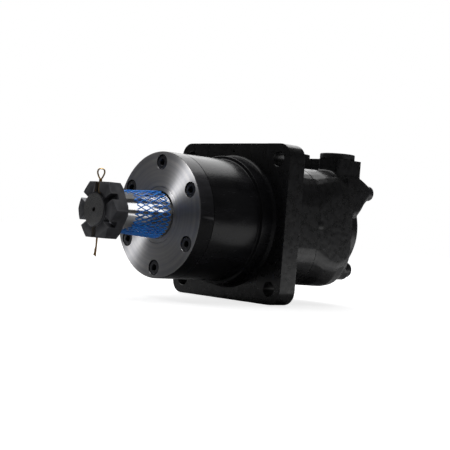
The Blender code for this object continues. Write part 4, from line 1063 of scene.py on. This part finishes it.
def valve_housing():
    """The valve end as one casting: body, rear boss, port block and four tie bolt bosses."""
    seat_low = high("tie_bolt_2").y - TIE_HEAD - PLAY
    boss_r = 0.055
    boss = [(0, 0.12), (boss_r, 0.12), (boss_r, VALVE_REAR_Y, 0.003), (0, VALVE_REAR_Y)]
    bodies = [loft("body", valve_sections()), turned("boss", eased(boss, 0.001), 96), port_block()]
    for side in (-1, 1):
        upper, seat_high = upper_boss(side)
        lower = rod(0.0112, 0.105, seat_low + 0.002, 48, side * TIE_OFFSET, -TIE_OFFSET)
        bodies += [upper, lower]
    pad_x = (VALVE_HALF - 0.002, VALVE_HALF + 0.0004)
    bodies.append(block(pad_x, (VALVE_FRONT_Y + 0.001, VALVE_FRONT_Y + 0.008), (0.0005, 0.0050)))
    casting = cast("valve", bodies, 0.0010, 5, 0.00022)

    everything = (-FLANGE_HALF, FLANGE_HALF)
    front_face = block(everything, (VALVE_FRONT_Y - 0.02, VALVE_FRONT_Y), everything)
    top_face = block(everything, (0.09, 0.16), (PORT_TOP_Z, PORT_TOP_Z + 0.02))
    before = VALVE_FRONT_Y - BEYOND
    ring_r, ring_rear = high("commutator_ring").x + PLAY, high("commutator_ring").y + 0.0004
    plate_r, plate_rear = high("balance_plate").x + PLAY, high("balance_plate").y + 0.0005
    cover_r = high("rear_cover").x + PLAY
    chamber_r, step_y, mouth_y, mouth = 0.028, 0.136, 0.1432, 0.0027
    cavity = turned(
        "cavity",
        [
            (0, before),
            (ring_r, before),
            (ring_r, ring_rear),
            (plate_r, ring_rear),
            (plate_r, plate_rear),
            (chamber_r, plate_rear),
            (chamber_r, step_y),
            (cover_r, step_y),
            (cover_r, mouth_y),
            (cover_r + mouth, mouth_y + 0.0032),
            (0, mouth_y + 0.0032),
        ],
        96,
    )
    inner_r, outer_r, groove_y = 0.0517, 0.0545, VALVE_FRONT_Y + 0.0022
    ring = [(inner_r, before), (outer_r, before), (outer_r, groove_y), (inner_r, groove_y)]
    groove = turned("groove", ring)
    holes = [rod(TIE_HOLE_R, before, 0.18, 32, x, z) for x, z in corner_places(TIE_OFFSET)]
    seats, wells = [], []
    rows = ((0.17, seat_low, 0.001, -TIE_OFFSET), (0.18, seat_high, 0.004, TIE_OFFSET))
    for end_y, seat_y, room, z in rows:
        for side in (-1, 1):
            seats.append(rod(TIE_HEAD_R + room, seat_y, end_y, 40, side * TIE_OFFSET, z))
    threads = [rod(REAR_HOLE_R, 0.118, 0.142, 24, x, z) for x, z in ring_places(REAR_SCREW_RING_R, 4)]
    for side in (-1, 1):
        well = rod(0.010, -PORT_TOP_Z, -0.054, 48, flare=0.0007)
        wells.append(upright(well, side * PORT_PLACE.x, PORT_PLACE.y, flip=True))
    threads.append(sideways(rod(0.0062, 0.050, 0.07, 32), middle("case_drain_plug").y))
    cut(casting, front_face, top_face, cavity, groove)
    tools = {"holes": holes, "seats": seats, "threads": threads, "wells": wells}
    cut(casting, *[join(name, group) for name, group in tools.items()])
    place(crisp(casting), "housing", "cast_black", "valve_housing")


def port_plug(node):
    """A flanged plastic plug with two moulded grooves across the underside of its cap."""
    cap_z, stub_r, stub_z = PORT_TOP_Z + PLAY, 0.0097, low(node).z
    profile = [
        (0, -PLUG_TOP_Z),
        (PLUG_R, -PLUG_TOP_Z, 0.0010),
        (PLUG_R, -cap_z, 0.0003),
        (stub_r, -cap_z, 0.0003),
        (stub_r, -stub_z, 0.0010),
        (0, -stub_z),
    ]
    made = turned("plug", eased(profile, 0.0004), 96)
    place_x, half, depth = 0.0094, 0.0034, 0.0011
    grooves = []
    for x in (-place_x, place_x):
        grooves.append(block((x - half, x + half), (-cap_z - depth, -cap_z + 0.0004), (-0.03, 0.03)))
    cut(made, *grooves)
    spun(made, math.radians(46.7))
    upright(made, math.copysign(PORT_PLACE.x, middle(node).x), PORT_PLACE.y, flip=True)
    place(crisp(made, 0.00015, 1), "housing", "plug_black", node)


def rear_cover():
    low_corner, high_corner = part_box("rear_cover")
    outer, rear = high_corner.x, high_corner.y
    spigot_r, step_y = 0.0277, 0.1363
    groove_r, groove_front, groove_rear = 0.0255, 0.1300, 0.1325
    dish_r, dish_y = 0.0215, rear - 0.0012
    profile = [
        (0, low_corner.y),
        (spigot_r, low_corner.y, 0.0006),
        (spigot_r, groove_front),
        (groove_r, groove_front),
        (groove_r, groove_rear),
        (spigot_r, groove_rear),
        (spigot_r, step_y),
        (outer, step_y, 0.0003),
        (outer, rear, 0.0009),
        (dish_r, rear, 0.0006),
        (dish_r - 0.001, dish_y, 0.0006),
        (0, dish_y),
    ]
    made = turned("end_cover", eased(profile, 0.0003), 128)
    seat = 0.14
    holes, pockets = [], []
    for x, z in ring_places(REAR_SCREW_RING_R, 4):
        holes.append(rod(REAR_HOLE_R, 0.13, 0.15, 24, x, z))
        pockets.append(rod(0.0056, rear, seat, 40, x, z, flare=0.0002))
    cut(made, join("holes", holes), join("pockets", pockets))
    place(crisp(made), "housing", "rear_black", "rear_cover")


def drain_plug():
    """A hexagon-headed plug with a round washer face."""
    top, seat, tip = -low("case_drain_plug").x, 0.0630, 0.0520
    corner_r, washer_r, shank_r, chamfer, washer = 0.0105, 0.0098, 0.0059, 0.0016, 0.0009
    beyond_r = corner_r + 0.001
    head = loft("head", [hexagon(corner_r, y) for y in (seat + 0.0006, top)])
    rim = [(beyond_r, seat), (beyond_r, top - chamfer), (corner_r - chamfer, top)]
    crown = [(0, seat), *rim, (0, top)]
    boolean(head, [turned("crown", crown, 64)], "INTERSECT")
    profile = [
        (0, tip),
        (shank_r, tip, 0.001),
        (shank_r, seat),
        (washer_r, seat, 0.0002),
        (washer_r, seat + washer, 0.0002),
        (0, seat + washer),
    ]
    made = boolean(head, [turned("shank", eased(profile, 0.0003), 48)], "UNION")
    sideways(made, middle("case_drain_plug").y)
    place(crisp(made, 0.00015, 1), "housing", "oxide_steel", "case_drain_plug")


def inner_parts():
    """The CAD nodes that stay visible keep their mesh and get their finish."""
    for row in frame["record"]["subparts"]:
        node = frame["nodes"][row["node"]]
        if node.hide_render:
            continue
        node.data.materials.clear()
        node.data.materials.append(FINISHES[row["material_slot"]])


# Stage

FLOOR_GLOW = 0.80  # of the floor near the motor; it rises to plain white further out
GLOW_START, GLOW_END = 0.15, 0.7  # distances from the motor between which it rises
DARK_ROOM = 0.05  # what polished faces see above the horizon, away from the lights


def studio():
    """A floor and a room, white to the camera only."""
    floor_z, reach = cad_low.z - 0.0005, 5
    shape = bmesh.new()
    corners = [(-reach, -reach), (reach, -reach), (reach, reach), (-reach, reach)]
    shape.faces.new([shape.verts.new((x, y, floor_z)) for x, y in corners])
    floor = finish_mesh("studio_floor", shape)
    finish = Finish("pale_floor", (0.45, 0.45, 0.455), 0.9)
    seen = finish.node("ShaderNodeLightPath").outputs["Is Camera Ray"]
    away = finish.node("ShaderNodeVectorMath", {"operation": "LENGTH"}).outputs["Value"]
    finish.tree.links.new(finish.place, away.node.inputs[0])
    glow = finish.spread(away, FLOOR_GLOW, 1.0, GLOW_START, GLOW_END)
    finish.set("Emission Color", (1, 1, 1, 1))
    finish.set("Emission Strength", finish.math("MULTIPLY", seen, glow))
    floor.data.materials.append(finish.material)

    world = bpy.data.worlds.new("studio")
    bpy.context.scene.world = world
    world.use_nodes = True
    tree = world.node_tree
    seen, unseen = tree.nodes["Background"], tree.nodes.new("ShaderNodeBackground")
    for background, strength in ((seen, 1.0), (unseen, DARK_ROOM)):
        background.inputs["Color"].default_value = (1, 1, 1, 1)
        background.inputs["Strength"].default_value = strength
    rays = tree.nodes.new("ShaderNodeLightPath")
    mix = tree.nodes.new("ShaderNodeMixShader")
    tree.links.new(rays.outputs["Is Camera Ray"], mix.inputs[0])
    tree.links.new(unseen.outputs[0], mix.inputs[1])
    tree.links.new(seen.outputs[0], mix.inputs[2])
    tree.links.new(mix.outputs[0], tree.nodes["World Output"].inputs[0])


def soft_light(name, place_at, target, size, radiance, only=(), never=()):
    """A rectangular soft box that faces the target. radiance is its brightness as seen. It can
    light only some pieces, or all but some."""
    lamp = bpy.data.lights.new(name, "AREA")
    lamp.shape = "RECTANGLE"
    lamp.size, lamp.size_y = size
    lamp.energy = radiance * math.pi * size[0] * size[1]
    made = bpy.data.objects.new(name, lamp)
    made.location = place_at
    made.rotation_euler = (Vector(target) - Vector(place_at)).to_track_quat("-Z", "Y").to_euler()
    bpy.context.scene.collection.objects.link(made)
    if only or never:
        lit = bpy.data.collections.new(name + "_lit")
        for piece in (*only, *never):
            lit.objects.link(piece)
        for row in lit.collection_objects:
            row.light_linking.link_state = "INCLUDE" if only else "EXCLUDE"
        made.light_linking.receiver_collection = lit
    if only:
        made.light_linking.blocker_collection = lit
    made.visible_camera = False


def camera():
    """The camera solved with the motor's size."""
    stand = (0.8255, -0.7837, -0.0080)
    azimuth, elevation, roll = math.radians(46.66), math.radians(-0.17), math.radians(4.57)
    lens = bpy.data.cameras.new("camera")
    lens.lens = 87.6
    lens.sensor_width = 36
    made = bpy.data.objects.new("camera", lens)
    turn = (
        Matrix.Rotation(azimuth, 4, "Z")
        @ Matrix.Rotation(QUARTER - elevation, 4, "X")
        @ Matrix.Rotation(roll, 4, "Z")
    )
    made.matrix_world = Matrix.Translation(stand) @ turn
    bpy.context.scene.collection.objects.link(made)
    bpy.context.scene.camera = made


def main():
    shaft = output_shaft()
    nut = castle_nut()
    pin = cotter_pin()
    net = shaft_net()
    cover = front_cover()
    wiper = dust_seal()
    bearing_housing()
    valve_housing()
    port_plug("port_plug_a")
    port_plug("port_plug_b")
    rear_cover()
    screws = (  # name, node, count, head length, shank and socket radius, twist, finish
        ("cover_bolt", "cover_screw", 6, 0.0085, 0.004, 0.0037, 0.7, "oxide_steel"),
        ("long_bolt", "tie_bolt", 4, TIE_HEAD, 0.005, 0.0046, 0.9, "rear_black"),
        ("rear_bolt", "rear_cover_screw", 4, 0.005, 0.003, 0.0026, 0.5, "oxide_steel"),
    )
    for name, node, count, head, shank_r, socket_r, twist, slot in screws:
        for i in range(1, count + 1):
            socket_screw(f"{name}_{i}", f"{node}_{i}", head, shank_r, socket_r, twist * i, slot)
    drain_plug()
    inner_parts()

    studio()
    taper, small_parts = (0.02, -0.12, 0.01), [nut, pin, net]
    soft_light("overhead_box", (-0.75, 0.35, 1.25), (-0.1, 0, 0), (2.2, 2.6), 2.2, never=[shaft])
    soft_light("front_box", (0.05, -0.75, 1.0), (0, -0.09, 0), (0.5, 0.5), 33, only=[cover, wiper])
    soft_light("nose_box", (0.05, -0.75, 1.0), (0, -0.15, 0), (0.5, 0.5), 13, only=small_parts)
    soft_light("low_card", (0.36, 0.26, -0.075), (0.36, 0.26, 1), (0.5, 0.5), 0.85, never=[cover])
    soft_light("shaft_strip", (0.65, 0.366, 0.42), taper, (0.3, 0.5), 1.7, only=[shaft])
    soft_light("shaft_fill", (-0.4, 0.5, 1.0), taper, (1.2, 1.2), 0.22, only=[shaft])
    camera()
    bpy.context.scene.view_settings.view_transform = "Standard"


main()
